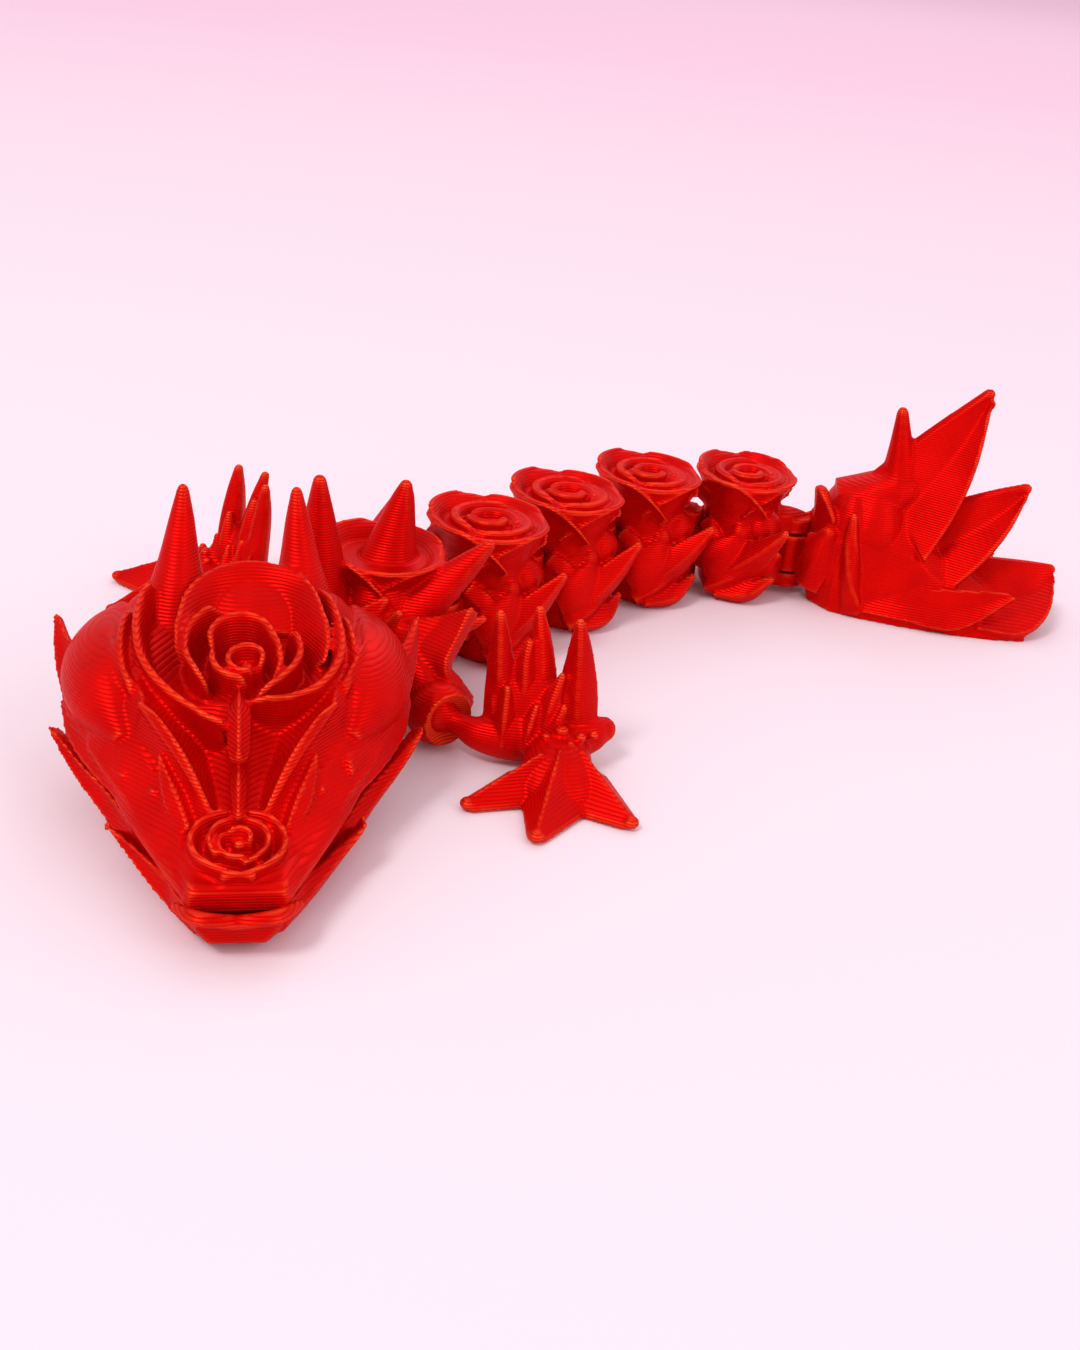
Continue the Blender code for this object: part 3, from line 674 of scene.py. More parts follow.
def make_head():
    """Skull, roses, horns, ears and leaves, the jaw's knuckles and the fork at the neck."""
    form, cuts = Form(), Form()
    skull(form)
    crown_rose(form)
    nose_rose(form)
    ridges = (
        ((18.4, 0, 14.3, 0.6, 1.0), (15.0, 0, 14.5, 1.15, 1.2), (11.7, 0, 12.3, 1.05, 1.0)),
        ((12.0, 0, 11.2, 0.6, 0.7), (9.4, 0, 10.4, 0.8, 0.9), (7.0, 0, 9.1, 0.6, 0.7)),
    )
    for ridge in ridges:
        form.limb(head_path(ridge), power=0.9, sides=12)
    horn = ((29.6, 6.4, 12.0, 3.5, 3.5), (33.0, 5.9, 17.5, 2.9, 2.9), (35.0, 5.7, 20.8, 1.95, 1.95),
            (36.8, 5.5, 24.2, 1.2, 1.2), (37.9, 5.4, 26.6, 0.6, 0.6))
    dome = ((16.8, 10.0, 10.8, 0.8, 0.8), (22.0, 12.0, 12.4, 3.3, 2.4), (27.4, 13.0, 13.2, 3.7, 2.7),
            (32.6, 12.6, 13.5, 2.9, 2.2), (36.6, 11.4, 14.2, 1.2, 1.0))
    ear_edge = ((13.5, 9.8, 8.8), (19.0, 12.9, 9.0), (24.0, 15.3, 9.5), (30.0, 16.9, 11.0),
                (34.0, 17.5, 12.7), (36.6, 17.6, 14.0))
    ear_root = ((15.5, 8.8, 9.8), (20.0, 11.2, 11.0), (24.4, 13.0, 11.6), (28.8, 14.4, 12.2),
                (32.6, 15.9, 13.0), (35.9, 17.2, 14.0))
    leaf_edge = ((13.0, 9.8, 6.6), (17.7, 12.9, 7.2), (22.4, 15.2, 8.0), (26.8, 16.2, 9.3))
    leaf_root = ((14.2, 8.4, 9.2), (18.4, 10.8, 10.2), (22.0, 12.6, 10.6), (25.8, 14.6, 10.3))
    brow = ((17.4, 8.6, 14.2, 0.3, 0.35), (15.0, 7.0, 13.6, 0.6, 0.9), (11.4, 4.6, 11.8, 0.55, 0.8),
            (8.2, 2.5, 9.0, 0.35, 0.4))
    cheek = ((6.9, 4.2, 7.4, 0.7, 0.9), (9.4, 5.2, 8.8, 1.15, 1.05), (11.4, 6.0, 10.0, 0.8, 0.8),
             (13.2, 6.7, 11.3, 0.3, 0.3))
    jowl = ((16.5, 10.4, 7.0, 1.2, 1.2), (11.5, 8.5, 6.5, 1.2, 1.2), (6.0, 6.2, 5.8, 0.9, 0.9),
            (1.4, 4.3, 5.3, 0.5, 0.6))
    sepal = ((19.6, 9.2, 14.4, 0.6, 0.8), (23.4, 10.9, 15.4, 0.8, 1.0), (27.2, 11.9, 16.0, 0.4, 0.4))
    nape_leaf = ((31.0, 8.6, 15.0, 2.4, 1.5), (35.6, 8.4, 15.8, 2.0, 1.2), (39.0, 7.0, 15.4, 0.5, 0.5))
    leaves = ((brow, 1.0, 12), (cheek, 1.0, 12), (jowl, 1.6, 20), (sepal, 1.0, 12),
              (nape_leaf, 1.4, 20))
    for side in (1, -1):

        def on_side(path, side=side):
            return flipped(head_path(path), side)

        form.limb(on_side(horn), sides=24)
        form.limb(on_side(dome), flat=(0, side * 0.75, -0.65))
        form.plate(on_side(ear_edge), on_side(ear_root), 1.1, 0.6)
        form.plate(on_side(leaf_edge), on_side(leaf_root), 1.3, 0.6)
        for path, power, sides in leaves:
            form.limb(on_side(path), power=power, sides=sides)
        form.ball((HEAD_LENGTH - 11.2, side * 7.2, 8.9), 0.36, sides=10)
    nape = ((32.0, 0, 12.6, 6.5, 3.6), (36.6, 0, 11.4, 5.6, 4.2), (39.6, 0, 9.6, 4.4, 3.4))
    form.limb(head_path(nape), blunt=False)
    form.box((HEAD_LENGTH - 39.6, -4.6, 0.8), (HEAD_LENGTH - 34.2, 4.6, 12.0))
    x = HEAD_LENGTH - JAW_HINGE_S
    room = JAW_HEEL + LINK_GAP
    for side in (-1, 1):
        y = side * KNUCKLE_Y
        form.box((x - 1.8, y - KNUCKLE_HALF, JAW_HINGE_Z), (x + 1.8, y + KNUCKLE_HALF, 9.4))
        form.rod((x, y - KNUCKLE_HALF, JAW_HINGE_Z), (x, y + KNUCKLE_HALF, JAW_HINGE_Z), 2.2, 2.2)
        # Room for the jaw's heel on both sides of the knuckle.
        for way in (-1, 1):
            width = 5.6 if way == side else 6.9
            low, high = sorted((y + way * KNUCKLE_HALF, y + way * width))
            cuts.rod((x, low, JAW_HINGE_Z), (x, high, JAW_HINGE_Z), room, room)
    cuts.rod((x, -9.5, JAW_HINGE_Z), (x, 9.5, JAW_HINGE_Z), RING_BORE, RING_BORE)
    fork(form, 0.0, 3.4)
    return form, cuts


def make_jaw():
    """The lower jaw, in the head's frame."""
    form, cuts = Form(), Form()
    # s, half widths of the flat underside and of the jaw, lowest z, highest z
    stations = (
        (-0.8, 2.3, 3.3, 1.6, 4.0),
        (1.2, 2.6, 4.0, 0.3, 4.0),
        (4.0, 4.2, 5.4, 0.0, 4.2),
        (9.0, 6.2, 7.0, 0.0, 4.5),
        (14.0, 8.2, 9.2, 0.0, 5.1),
        (20.0, 10.6, 11.4, 0.0, 5.8),
        (26.0, 11.6, 12.1, 0.2, 6.5),
        (29.6, 11.7, 12.1, JAW_HINGE_Z - JAW_HEEL, 7.0),
    )
    slit = 0.5
    rings = []
    for s, below, wide, low, high in stations:
        half = [(0.0, low), (below, low), (wide, (low + high) / 2), (wide, high - slit),
                (0.0, high - slit)]
        other = [(-v, z) for v, z in half[-2:0:-1]]
        rings.append([Vector((HEAD_LENGTH - s, v, z)) for v, z in half + other])
    form.loft(rings)
    x = HEAD_LENGTH - JAW_HINGE_S
    form.rod((x, -11.9, JAW_HINGE_Z), (x, 11.9, JAW_HINGE_Z), JAW_HEEL, JAW_HEEL)
    lip = ((-1.1, 0.0, 3.9, 0.8, 0.7), (-1.2, 1.8, 4.2, 0.8, 0.7), (-0.8, 3.5, 4.3, 0.8, 0.7),
           (1.4, 5.0, 3.8, 0.5, 0.5))
    upper = ((6.0, 5.4, 1.2), (12.0, 8.8, 1.4), (17.5, 11.6, 2.6), (21.6, 14.8, 5.0),
             (25.0, 17.3, 8.0))
    upper_root = ((6.6, 4.8, 3.3), (12.6, 8.2, 4.0), (17.6, 11.0, 5.1), (21.0, 13.8, 6.3),
                  (24.2, 16.4, 7.6))
    lower = ((1.0, 3.1, 1.2), (5.6, 5.9, 1.4), (10.0, 8.9, 2.8), (13.2, 11.5, 4.8))
    lower_root = ((1.6, 3.0, 3.1), (5.6, 5.2, 3.4), (9.6, 8.0, 3.9), (13.0, 11.2, 4.6))
    lip, upper, upper_root = head_path(lip), head_path(upper), head_path(upper_root)
    lower, lower_root = head_path(lower), head_path(lower_root)
    for turned in (list, mirrored):
        form.limb(turned(lip), power=1.4, sides=12)
        form.plate(turned(upper), turned(upper_root), 1.7, 0.8)
        form.plate(turned(lower), turned(lower_root), 1.5, 0.8)
    slot = KNUCKLE_HALF + LINK_GAP
    for side in (-1, 1):
        y = side * KNUCKLE_Y
        cuts.box((x - 4.6, y - slot, -1.0), (x + 3.0, y + slot, 9.0))
    return form, cuts


# ---- chest and legs ----


def rose(form, x, radius, low, rim, spin=0.0, bud=True):
    """An open rose: a full cup, petals that overlap outside it, and a rolled bud inside it."""
    tall = rim - low

    def place(px, py):
        return x + (px - x) * ROSE_SQUEEZE, py

    # Where the cup's rim rises, in degrees from the rose's front, and by how much.
    humps = ((72, 0.9), (150, 0.5), (-20, 0.35))
    cup = (0.95, 0.93, 0.97, 0.93, 0.97, 0.94, 0.95)

    def cup_rim(share, px, py):
        turn = math.degrees(math.atan2(py, px - x)) - spin
        lift = sum(size * max(0.0, math.cos(math.radians(turn - way))) ** 6 for way, size in humps)
        return rim - 0.9 + lift

    line = arc((x, 0.0), [radius * share for share in cup], -120 + spin, 244 + spin, 72)
    form.wall(line, low, cup_rim, (x, 0.0), radius * 0.33, 1.5, 2.0, place)
    # turn, radii along it, drop at the ends, lift over the rim, thickness, run of the drop
    outside = (
        ((-150, 4), (0.90, 0.97, 1.0, 1.03), 4.2, -0.7, 1.0, 0.42),
        ((-118, -238), (1.03, 1.0, 1.0, 1.04), 4.4, -0.4, 1.0, 0.42),
        ((-46, 66), (1.03, 0.99, 1.0, 0.94), 3.2, -0.1, 0.9, 0.3),
        ((44, 156), (1.0, 0.99, 0.99, 0.95), 3.0, 0.3, 0.9, 0.3),
    )
    for (start, end), shares, drop, lift, thick, run in outside:
        edge = arc((x, 0.0), [radius * share for share in shares], start + spin, end + spin, 44)

        def top(share, px, py, drop=drop, lift=lift, run=run):
            return rim + lift - ends_down(share, drop, run)

        form.wall(edge, low + 0.3, top, (x, 0.0), radius * 0.36, thick, 2.0, place)
    form.limb(((x, 0, low - 1.5, radius * 0.62, radius * 0.62),
               (x, 0, low + 0.3 * tall, radius * 0.7, radius * 0.7),
               (x, 0, low + 0.78 * tall, radius * 0.78, radius * 0.78)), flat=(0, 1, 0), blunt=False)
    if not bud:
        return
    # turn, radii along it, depth under the rim
    inner = (
        ((-175, 30), (0.70, 0.66, 0.62, 0.60), 0.55),
        ((0, 200), (0.72, 0.64, 0.63, 0.62), 0.3),
        ((-90, 130), (0.46, 0.42, 0.38, 0.30), 0.45),
        ((110, 330), (0.40, 0.34, 0.27, 0.16), 0.25),
    )
    for (start, end), shares, under in inner:
        edge = arc((x + 0.3, -0.2), [radius * share for share in shares], start + spin, end + spin, 30)

        def top(share, px, py, under=under):
            return rim - under - ends_down(share, 0.8, 0.2)

        form.wall(edge, low + 0.3 * tall, top, (x, 0.0), radius * 0.12, 1.25, 1.1, place)


def barrel(form, x, half_length, half_width, top):
    """The rounded body under a rose, flat where it rests."""
    across, upward = Vector((half_length, 0, 0)), Vector((0, half_width, 0))
    levels = ((0.86, 0.0), (0.97, 0.07), (1.0, 0.3), (0.96, 0.55), (0.82, 0.8), (0.62, 1.0))
    form.loft([oval(Vector((x, 0, level * top)), across * size, upward * size, 2.2, 28)
               for size, level in levels])


def shoulder(form, cuts, side):
    """A bent shoulder with a crest, ending in a cup that faces outward."""
    bend = ((14.6, 3.0, 6.4, 3.4, 4.2), (14.8, 8.0, 6.0, 3.0, 4.0), (14.6, 12.0, 5.2, 2.6, 3.2),
            (14.5, 14.6, 4.2, 2.0, 2.6))
    crest = ((20.8, 12.9, 13.0), (19.0, 13.6, 10.9), (16.4, 14.9, 8.1), (17.4, 16.0, 6.2),
             (18.6, 16.8, 4.3))
    inner = ((17.2, 8.4, 10.4), (15.4, 7.8, 9.4), (12.8, 8.4, 8.0), (13.0, 11.0, 6.0),
             (14.4, 13.0, 4.2))
    back_thorn = ((17.6, 6.4, 7.6, 1.9, 1.7), (20.4, 8.4, 9.0, 1.5, 1.3), (22.4, 9.8, 9.6, 1.0, 0.8),
                  (23.6, 10.6, 10.4, 0.45, 0.45))
    front_thorn = ((11.0, 5.0, 9.4, 1.8, 1.6), (12.2, 8.6, 11.0, 1.2, 1.1),
                   (12.6, 10.6, 13.2, 0.5, 0.5))
    form.limb(flipped(bend, side), power=1.8)
    form.plate(flipped(crest, side), flipped(inner, side), 2.2, 0.5)
    form.limb(flipped(back_thorn, side), power=1.3)
    form.limb(flipped(front_thorn, side), power=1.4)
    centre = (SHOULDER_X, side * SHOULDER_Y, SHOULDER_Z)
    form.ball(centre, SOCKET_RADIUS, 28)
    cuts.ball(centre, SOCKET_BORE, 28)
    mouth = (SHOULDER_X, side * (SHOULDER_Y + SOCKET_REACH), SHOULDER_Z)
    cuts.rod(centre, mouth, 0.02, SOCKET_REACH * math.tan(math.radians(SOCKET_OPEN)), 36)


def make_chest():
    """Body, rose, spike, neck horn and both shoulders, a ring in front and a fork behind."""
    form, cuts = Form(), Form()
    barrel(form, 16.4, 6.2, 6.6, 11.8)
    barrel(form, 8.4, 5.3, 5.0, 12.8)
    rose(form, 17.4, 6.9, 9.4, 16.4, spin=4.0, bud=False)
    form.ball((17.4, 0, 9.8), (5.9, 6.2, 4.6), 24)
    for side in (-1, 1):
        form.ball((15.4, side * 3.3, 11.0), (3.7, 2.9, 3.3), 20)
    form.limb(((9.6, 0, 11.0, 3.2, 3.2), (9.4, 0, 16.0, 2.5, 2.5), (9.2, 0, 21.0, 1.55, 1.55),
               (9.1, 0, 24.6, 0.75, 0.75)), sides=24)
    form.limb(((17.6, 0, 12.0, 4.6, 4.6), (18.3, 0, 15.4, 3.1, 3.1), (18.9, -0.1, 18.6, 2.1, 2.1),
               (19.4, -0.2, 21.2, 1.35, 1.35), (19.6, -0.3, 22.6, 0.8, 0.8)), power=1.7, sides=24)
    neck_leaf = ((4.2, 2.4, 5.2, 1.6, 2.4), (8.0, 4.6, 7.6, 1.7, 2.8), (11.6, 5.8, 10.6, 1.2, 1.9),
                 (13.6, 6.4, 12.8, 0.5, 0.6))
    thorn = ((14.4, 3.6, 6.6, 3.0, 3.2), (18.4, 5.5, 10.6, 2.9, 2.7), (22.6, 7.4, 15.0, 1.8, 1.7),
             (25.1, 8.8, 18.0, 0.65, 0.65))
    collar = ((13.0, 5.2, 11.0, 1.5, 1.0), (16.0, 6.8, 10.0, 1.6, 1.0), (19.6, 6.6, 9.2, 1.3, 0.9))
    low_leaf = ((10.4, 5.2, 2.8, 1.8, 2.8), (15.4, 7.4, 4.0, 1.6, 3.0), (20.0, 7.8, 6.2, 1.2, 1.9),
                (23.0, 7.4, 8.6, 0.5, 0.6))
    for turned in (list, mirrored):
        for path, power in ((neck_leaf, 1.3), (thorn, 1.6), (collar, 1.3), (low_leaf, 1.3)):
            form.limb(turned(path), power=power)
    for side in (-1, 1):
        shoulder(form, cuts, side)
    ring_link(form, cuts, 5.0)
    fork(form, CHEST_LENGTH, CHEST_LENGTH - 4.4)
    return form, cuts


# A toe's half width near its tip, and how far behind the tip that is.
TOE_HALF, TOE_BACK = 0.95, 0.9
# Toes stand just clear of the floor.
TOE_LOW = 0.05


def toe(form, tip, left, right, crown):
    """A blunt toe: a ridge from the crown down to the tip, with hollow sides down to the floor."""
    tip, left, right, crown = Vector(tip), Vector(left), Vector(right), Vector(crown)
    outward = ((tip - crown) * Vector((1, 1, 0))).normalized()
    across = Vector((-outward.y, outward.x, 0)) * TOE_HALF
    if across.dot(left - right) < 0:
        across = -across
    heel = tip - outward * TOE_BACK
    rise = Vector((0, 0, 0.6))
    rings = []
    for k in range(9):
        share = k / 8
        low_left, low_right = left.lerp(heel + across, share), right.lerp(heel - across, share)
        top = crown.lerp(heel + Vector((0, 0, 1.3)), share)
        hollow = Vector((0, 0, 0.16 * (top.z - tip.z - 1.0) * (1 - share)))
        rings.append([low_left, low_right, low_right + rise,
                      (low_right + rise).lerp(top, 0.5) - hollow, top,
                      (low_left + rise).lerp(top, 0.5) - hollow, low_left + rise])
    form.loft(rings)
    form.ball((heel.x, heel.y, 0.7 - SHOULDER_Z), (0.85, 0.85, 0.65), 16)


def make_leg(side):
    """A leg with its ball at the origin; side is 1 for the left leg and -1 for the right."""
    form = Form()

    def corner(x, y, z=TOE_LOW):
        return (x, side * y, z - SHOULDER_Z)

    form.ball((0, 0, 0), BALL_RADIUS, 24)
    arm = ((0.4, -0.2, 0.0, 1.25, 1.25), (2.4, -1.2, -0.5, 1.25, 1.25), (4.6, -2.0, -0.9, 1.7, 1.9),
           (8.0, -2.0, -0.9, 2.2, 2.6), (11.6, -1.2, -0.6, 2.3, 2.8), (15.2, -0.6, -0.8, 1.7, 2.6))
    form.limb(flipped(arm, side), sides=24)
    hand = ((5.4, -1.2, 1.4, 1.5, 3.4), (9.4, -0.8, 1.6, 1.7, 3.8), (14.2, -0.6, 1.2, 1.6, 3.6))
    form.limb(flipped(hand, side), power=1.7)
    feathers = (
        ((6.6, -1.4, -1.0, 1.9, 1.8), (6.3, -0.9, 3.0, 1.75, 1.6), (5.9, -0.3, 8.2, 1.25, 1.2),
         (5.6, -0.1, 11.8, 0.6, 0.6)),
        ((8.8, -1.4, 0.6, 1.4, 1.4), (8.7, -0.9, 4.6, 1.2, 1.2), (8.6, -0.4, 7.2, 0.95, 0.95),
         (8.8, 0.0, 9.0, 0.5, 0.5)),
        ((11.0, -0.8, -1.0, 1.8, 1.6), (10.6, 0.0, 4.0, 1.6, 1.4), (10.0, 1.0, 8.6, 1.2, 1.1),
         (9.5, 1.7, 11.9, 0.6, 0.6)),
        ((14.4, -0.7, -1.4, 2.3, 2.0), (14.2, -0.4, 4.0, 2.15, 1.8), (14.0, 0.0, 8.4, 1.4, 1.3),
         (13.7, 0.2, 11.5, 0.65, 0.65)),
        ((7.0, -3.0, -1.2, 1.1, 1.4), (7.0, -2.8, 1.6, 0.95, 1.1), (7.0, -2.4, 4.8, 0.4, 0.45)),
        ((9.2, -3.4, -1.4, 0.9, 1.2), (9.6, -3.1, 0.9, 0.8, 1.0), (10.1, -2.7, 3.2, 0.35, 0.4)),
        ((11.0, -2.6, 0.0, 1.2, 1.2), (11.6, -2.2, 3.4, 1.1, 1.1), (12.4, -1.6, 6.4, 0.45, 0.45)),
        ((11.4, -3.8, -1.4, 1.0, 1.1), (12.1, -3.4, 1.2, 0.9, 0.9), (12.9, -3.0, 3.6, 0.4, 0.4)),
    )
    for path in feathers:
        form.limb(flipped(path, side), power=1.3, flat=(1, 0, 0))
    # the tip, the two low corners beside the foot, and the crown
    toes = (
        (corner(3.6, -12.8), corner(8.0, -5.0), corner(10.8, -11.0), corner(11.2, -7.9, 4.9)),
        (corner(11.2, -17.9), corner(9.5, -10.2), corner(16.3, -11.2), corner(12.9, -7.2, 5.2)),
        (corner(21.0, -13.5), corner(15.1, -11.8), corner(18.0, -4.2), corner(14.9, -6.4, 5.0)),
    )
    for tip, low_left, low_right, crown in toes:
        toe(form, tip, low_left, low_right, crown)
    ankle = ((12.9, -11.4, -3.0, 2.2, 0.7), (12.9, -9.6, -2.2, 3.6, 1.5),
             (12.8, -6.8, -1.4, 3.6, 2.4), (12.9, -3.6, -1.2, 3.2, 2.5), (12.8, -0.8, -0.9, 2.7, 2.5))
    heel = ((14.0, -1.8, -0.8, 2.2, 2.2), (16.2, -0.6, -0.2, 1.9, 1.9), (17.2, -0.1, 0.0, 1.4, 1.4))
    form.limb(flipped(ankle, side))
    form.limb(flipped(heel, side))
    tone_with_painted_glints = ((12.9, -4.4, 1.5, 0.8), (14.9, -4.6, 1.2, 0.55), (11.4, -5.0, 1.1, 0.5),
             (13.9, -6.0, 1.0, 0.45), (16.2, -3.4, 1.0, 0.5))
    for x, y, z, size in tone_with_painted_glints:
        form.ball((x, side * y, z), size, 12)
    return form, None


# ---- body and tail ----


def make_segment(length, radius, rim, spin):
    """One body piece: a ring in front, a fork behind and a rose on top."""
    form, cuts = Form(), Form()
    middle = length / 2
    barrel(form, middle, middle - 2.7, 6.5, 11.6)
    rose(form, middle, radius, 9.6, rim, spin)
    flank = ((2.4, 4.1, 3.6, 0.6, 1.8), (3.8, 4.8, 4.4, 1.3, 3.5), (6.4, 5.2, 5.0, 1.5, 4.0),
             (9.6, 4.6, 6.0, 1.2, 3.0))
    thorn = ((middle - 3.6, 4.2, 2.4, 1.7, 2.2), (middle - 0.8, 5.6, 4.8, 1.7, 2.4),
             (middle + 2.0, 7.0, 7.6, 1.3, 1.8), (middle + 4.4, 8.3, 10.6, 0.55, 0.65))
    blade = ((middle - 4.2, 4.8, 1.4, 1.1, 1.3), (middle - 1.8, 6.0, 3.2, 1.1, 1.6),
             (middle + 1.0, 7.0, 5.8, 0.45, 0.5))
    skirt = ((middle - 3.0, 5.2, 0.9, 1.3, 1.0), (middle + 0.8, 6.5, 1.6, 1.5, 1.5),
             (middle + 3.9, 6.6, 3.6, 0.5, 0.6))
    leaf = ((middle - 4.8, 1.6, 9.2, 1.0, 1.3), (middle - 3.8, 3.6, 7.6, 1.2, 1.5),
            (middle - 2.4, 5.0, 5.8, 0.5, 0.6))
    tail_leaf = ((middle + 1.4, 4.6, 3.0, 1.2, 2.2), (middle + 3.4, 4.6, 4.4, 1.05, 2.3),
                 (middle + 4.8, 4.4, 6.2, 0.45, 0.8))
    leaves = ((flank, 1.8), (thorn, 1.2), (blade, 1.2), (skirt, 1.3), (leaf, 1.4), (tail_leaf, 1.4))
    for turned in (list, mirrored):
        for path, power in leaves:
            form.limb(turned(path), power=power)
    for side in (-1, 1):
        form.ball((middle + 2.2, side * 3.9, 9.9), (2.6, 2.4, 2.3), 20)
        form.ball((middle - 0.6, side * 4.6, 9.0), (1.5, 1.3, 1.7), 16)
    ring_link(form, cuts, middle - 2.0)
    fork(form, length, length - middle + 2.0)
    return form, cuts


def make_tail():
    """The last piece: a hump with a thorn, and three folded leaves behind it."""
    form, cuts = Form(), Form()
    # x, and half of the outline there as y, z pairs from the midline down to the floor
    sections = (
        (2.9, ((0.0, 11.6), (2.6, 11.2), (4.0, 9.0), (4.2, 4.6), (3.4, 0.0))),
        (5.6, ((0.0, 13.4), (4.0, 12.8), (6.0, 9.6), (6.6, 4.2), (6.6, 0.0))),
        (9.0, ((0.0, 15.0), (4.2, 13.6), (6.4, 9.5), (7.2, 4.0), (7.8, 0.0))),
        (12.0, ((0.0, 17.4), (3.0, 14.0), (5.9, 9.6), (7.3, 4.0), (8.4, 0.0))),
        (15.0, ((0.0, 16.4), (4.9, 11.4), (6.7, 8.8), (7.9, 3.6), (9.0, 0.0))),
        (17.4, ((0.0, 12.6), (5.0, 9.4), (7.0, 7.2), (8.3, 3.4), (9.3, 0.0))),
        (22.0, ((0.0, 7.8), (4.0, 6.8), (7.0, 4.4), (8.8, 2.4), (9.7, 0.0))),
        (27.0, ((0.0, 4.8), (4.0, 4.2), (7.0, 3.0), (8.8, 1.6), (9.7, 0.0))),
        (31.0, ((0.0, 2.8), (4.0, 2.4), (6.5, 1.6), (8.2, 0.9), (9.0, 0.0))),
    )
    rings = []
    for x, half in sections:
        other = [(-y, z) for y, z in half[:0:-1]]
        rings.append([Vector((x, y, z)) for y, z in list(half) + other])
    form.loft(rings)
    form.ball((7.2, 0, 9.9), (4.2, 6.3, 6.4), 28)
    form.ball((9.8, 0, 10.1), (5.4, 6.5, 6.7), 28)
    form.limb(((5.0, 0, 13.4, 3.2, 2.6), (8.6, 0, 14.2, 4.2, 2.9), (12.6, 0, 15.4, 3.8, 3.2)))
    line = arc((6.8, 0.0), (3.8, 5.0, 5.6), -186, -112, 24)

    def rim(share, px, py):
        return 15.6 - ends_down(share, 3.4, 0.45)

    form.wall(line, 8.4, rim, (6.8, 0.0), 0.9, 1.5, 1.6)
    # the keel along the fold, and the free edge of one half
    leaves = (
        (((9.6, 0, 17.2), (13.4, 0, 21.4), (17.6, 0, 25.6), (21.6, 0, 29.4)),
         ((16.6, 7.2, 8.6), (19.6, 5.3, 14.8), (21.4, 3.2, 21.2), (22.1, 0.5, 28.8))),
        (((15.0, 0, 12.0), (20.0, 0, 14.2), (24.8, 0, 16.2), (28.9, 0, 17.6)),
         ((20.4, 7.2, 4.8), (24.2, 5.8, 8.8), (27.2, 3.6, 13.0), (29.3, 0.5, 17.0))),
        (((20.0, 0, 6.6), (26.0, 0, 7.0), (31.0, 0, 7.1), (34.4, 0, 7.0)),
         ((24.6, 9.4, 0.9), (30.2, 9.4, 0.9), (33.8, 6.6, 3.2), (35.0, 1.0, 6.4))),
    )
    for keel, edge in leaves:
        form.plate(edge, keel, 1.6, 1.1)
        form.plate(mirrored(edge), mirrored(keel), 1.6, -1.1)
        form.limb([(*point, 0.75, 0.8) for point in keel], power=1.3, sides=12)
    form.limb(((12.7, 0, 13.0, 3.3, 3.3), (12.4, 0, 17.0, 2.4, 2.4), (12.1, 0, 20.2, 1.8, 1.8),
               (11.7, 0, 23.0, 1.25, 1.25), (11.3, 0, 25.8, 0.75, 0.75)))
    pillar = ((8.4, 6.6, 0.7, 2.0, 1.3), (7.8, 7.0, 4.0, 1.6, 1.3), (7.1, 6.8, 9.0, 1.2, 1.1),
              (6.8, 6.2, 13.2, 0.5, 0.5))
    cheek = ((2.4, 4.2, 2.4, 1.1, 2.2), (3.2, 4.9, 6.2, 1.2, 2.4), (4.2, 5.2, 10.4, 0.7, 1.2))
    fore_leaf = ((1.6, 3.7, 8.4, 0.6, 1.4), (3.2, 4.5, 8.0, 1.0, 1.8), (5.0, 5.2, 6.4, 0.8, 1.2))
    side_edge = ((9.4, 7.9, 0.9), (15.0, 9.1, 0.9), (22.0, 10.0, 0.9), (28.8, 8.6, 5.6))
    side_root = ((9.6, 5.8, 3.4), (15.0, 6.9, 4.4), (21.0, 7.4, 5.4), (27.6, 7.8, 5.9))
    for side, turned in ((1, list), (-1, mirrored)):
        form.limb(turned(pillar), power=1.5)
        form.limb(turned(cheek), power=1.5)
        form.limb(turned(fore_leaf), power=1.4)
        form.plate(turned(side_edge), turned(side_root), 1.5, side * 0.5)
    ring_link(form, cuts, 5.0)
    # Nothing of the leaves reaches below the floor.
    cuts.box((-20, -30, -10), (50, 30, 0.0))
    return form, cuts


# ---- assembly ----


PLASTIC = silk_plastic()


def settle(name, form, cuts, origin, heading):
    """Fuse a piece, lay it at its joint and let it stand for its CAD node."""
    item = fuse(form, name + "_print", cuts)
    turn = Matrix.Rotation(math.radians(heading), 4, "Z")
    item.data.transform(Matrix.Scale(MM, 4) @ Matrix.Translation(Vector(origin)) @ turn)
    for vert in item.data.vertices:
        vert.co.z = max(vert.co.z, 0.0)
    mark_crests(item.data)
    item.data.shade_smooth()
    item.data.materials.clear()
    item.data.materials.append(PLASTIC)
    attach(item, name)
    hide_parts(name)


def floor_point(child):
    """The point on the floor under the joint that carries a piece."""
    at = JOINT_AT[child].copy()
    at.z = 0.0
    return at


def build_dragon():
    neck = floor_point("head")
    settle("head", *make_head(), neck, HEAD_HEADING)
    settle("lower_jaw", *make_jaw(), neck, HEAD_HEADING)
    settle("chest", *make_chest(), neck, CHEST_HEADING)
    settle("left_leg", *make_leg(1), JOINT_AT["left_leg"], LEFT_LEG_HEADING)
    settle("right_leg", *make_leg(-1), JOINT_AT["right_leg"], RIGHT_LEG_HEADING)
    for number, (heading, *sizes) in enumerate(SEGMENTS, 1):
        name = f"body_segment_{number}"
        settle(name, *make_segment(*sizes), floor_point(name), heading)
    settle("tail", *make_tail(), floor_point("tail"), TAIL_HEADING)


# ---- stage ----


PALE_FLOOR, PINK_FLOOR = (0.86, 0.76, 0.81, 1), (0.94, 0.66, 0.80, 1)
# The floor has turned pink at this distance behind the object, in metres.
PINK_FROM = 0.9
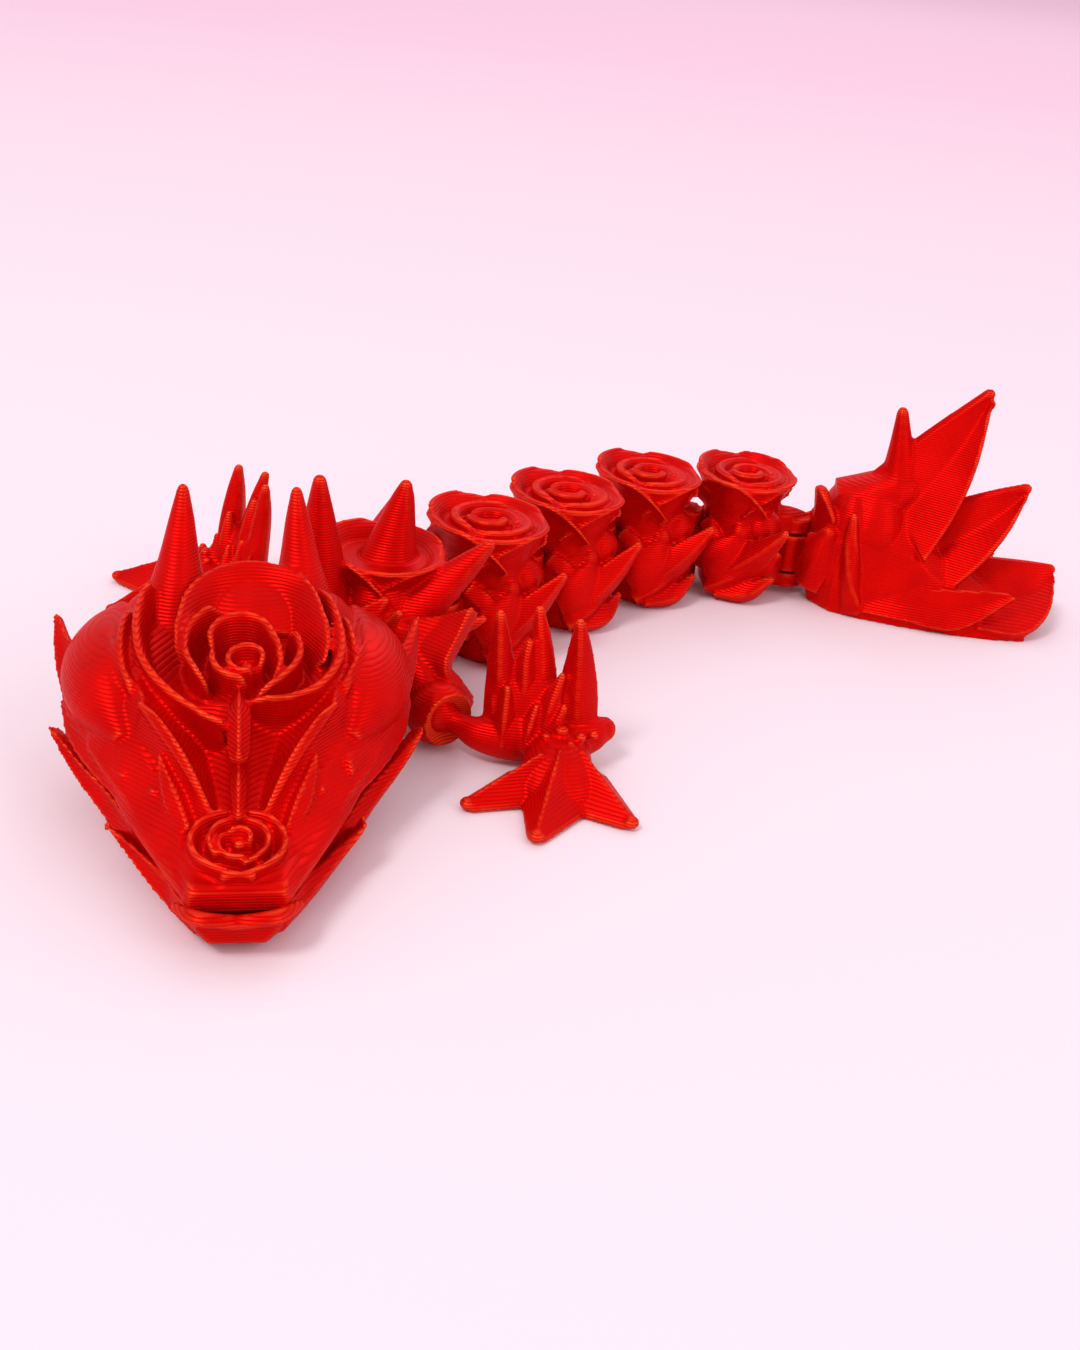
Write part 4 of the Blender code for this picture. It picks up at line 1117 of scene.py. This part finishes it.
# The even light from all sides, and each lamp's place, size, power and aim.
ROOM_LIGHT, ROOM_STRENGTH = (1.0, 0.88, 0.94, 1), 0.84
LAMPS = {
    "key": ((-0.50, -0.65, 1.10), 0.38, 6.5, (0.0, 0.0, 0.01)),
    "fill": ((1.00, -0.70, 0.80), 0.80, 3.0, (0.0, 0.0, 0.01)),
    "back": ((0.25, 1.60, 1.50), 1.20, 4.0, (0.0, 0.5, 0.0)),
}
# The camera's place, in millimetres, its tilt and roll, and its lens.
CAMERA_SPOT = (-6.734, -153.649, 80.0)
CAMERA_DOWN, CAMERA_ROLL = 26.4, 5.72
SENSOR_WIDTH = 36.0
FOCAL_SHARE = 1550 / 1080


def floor_material():
    """Pale and matt, a little pinker far behind the object."""
    material, tree, shader, place = new_material("pale_floor")
    split = node(tree, "SeparateXYZ", Vector=place)
    far = node(tree, "MapRange", Value=split.outputs["Y"])
    far.inputs["From Max"].default_value = PINK_FROM
    tint = mix(tree, far.outputs[0], PALE_FLOOR, PINK_FLOOR)
    tree.links.new(tint, shader.inputs["Base Color"])
    shader.inputs["Roughness"].default_value = 0.9
    shader.inputs["Specular IOR Level"].default_value = 0.1
    return material


def make_floor():
    bpy.ops.mesh.primitive_plane_add(size=60.0, location=(0, 0, -0.0001))
    floor = bpy.context.object
    floor.name = "floor"
    floor.data.materials.append(floor_material())


def make_lights():
    for name, (spot, size, power, aim) in LAMPS.items():
        data = bpy.data.lights.new(name, "AREA")
        data.shape = "DISK"
        data.size = size
        data.energy = power
        item = linked(name, data)
        item.location = spot
        item.rotation_euler = (Vector(aim) - Vector(spot)).to_track_quat("-Z", "Y").to_euler()
    world = bpy.data.worlds.new("studio")
    bpy.context.scene.world = world
    world.use_nodes = True
    background = world.node_tree.nodes["Background"]
    background.inputs["Color"].default_value = ROOM_LIGHT
    background.inputs["Strength"].default_value = ROOM_STRENGTH


def make_camera():
    data = bpy.data.cameras.new("camera")
    data.sensor_fit = "HORIZONTAL"
    data.sensor_width = SENSOR_WIDTH
    data.lens = SENSOR_WIDTH * FOCAL_SHARE
    data.clip_start = 0.005
    data.clip_end = 200.0
    camera = linked("camera", data)
    tilt = Matrix.Rotation(math.radians(90 - CAMERA_DOWN), 4, "X")
    roll = Matrix.Rotation(math.radians(CAMERA_ROLL), 4, "Z")
    camera.matrix_world = Matrix.Translation(Vector(CAMERA_SPOT) * MM) @ tilt @ roll
    bpy.context.scene.camera = camera


bpy.context.scene.view_settings.view_transform = "Standard"
build_dragon()
make_floor()
make_lights()
make_camera()
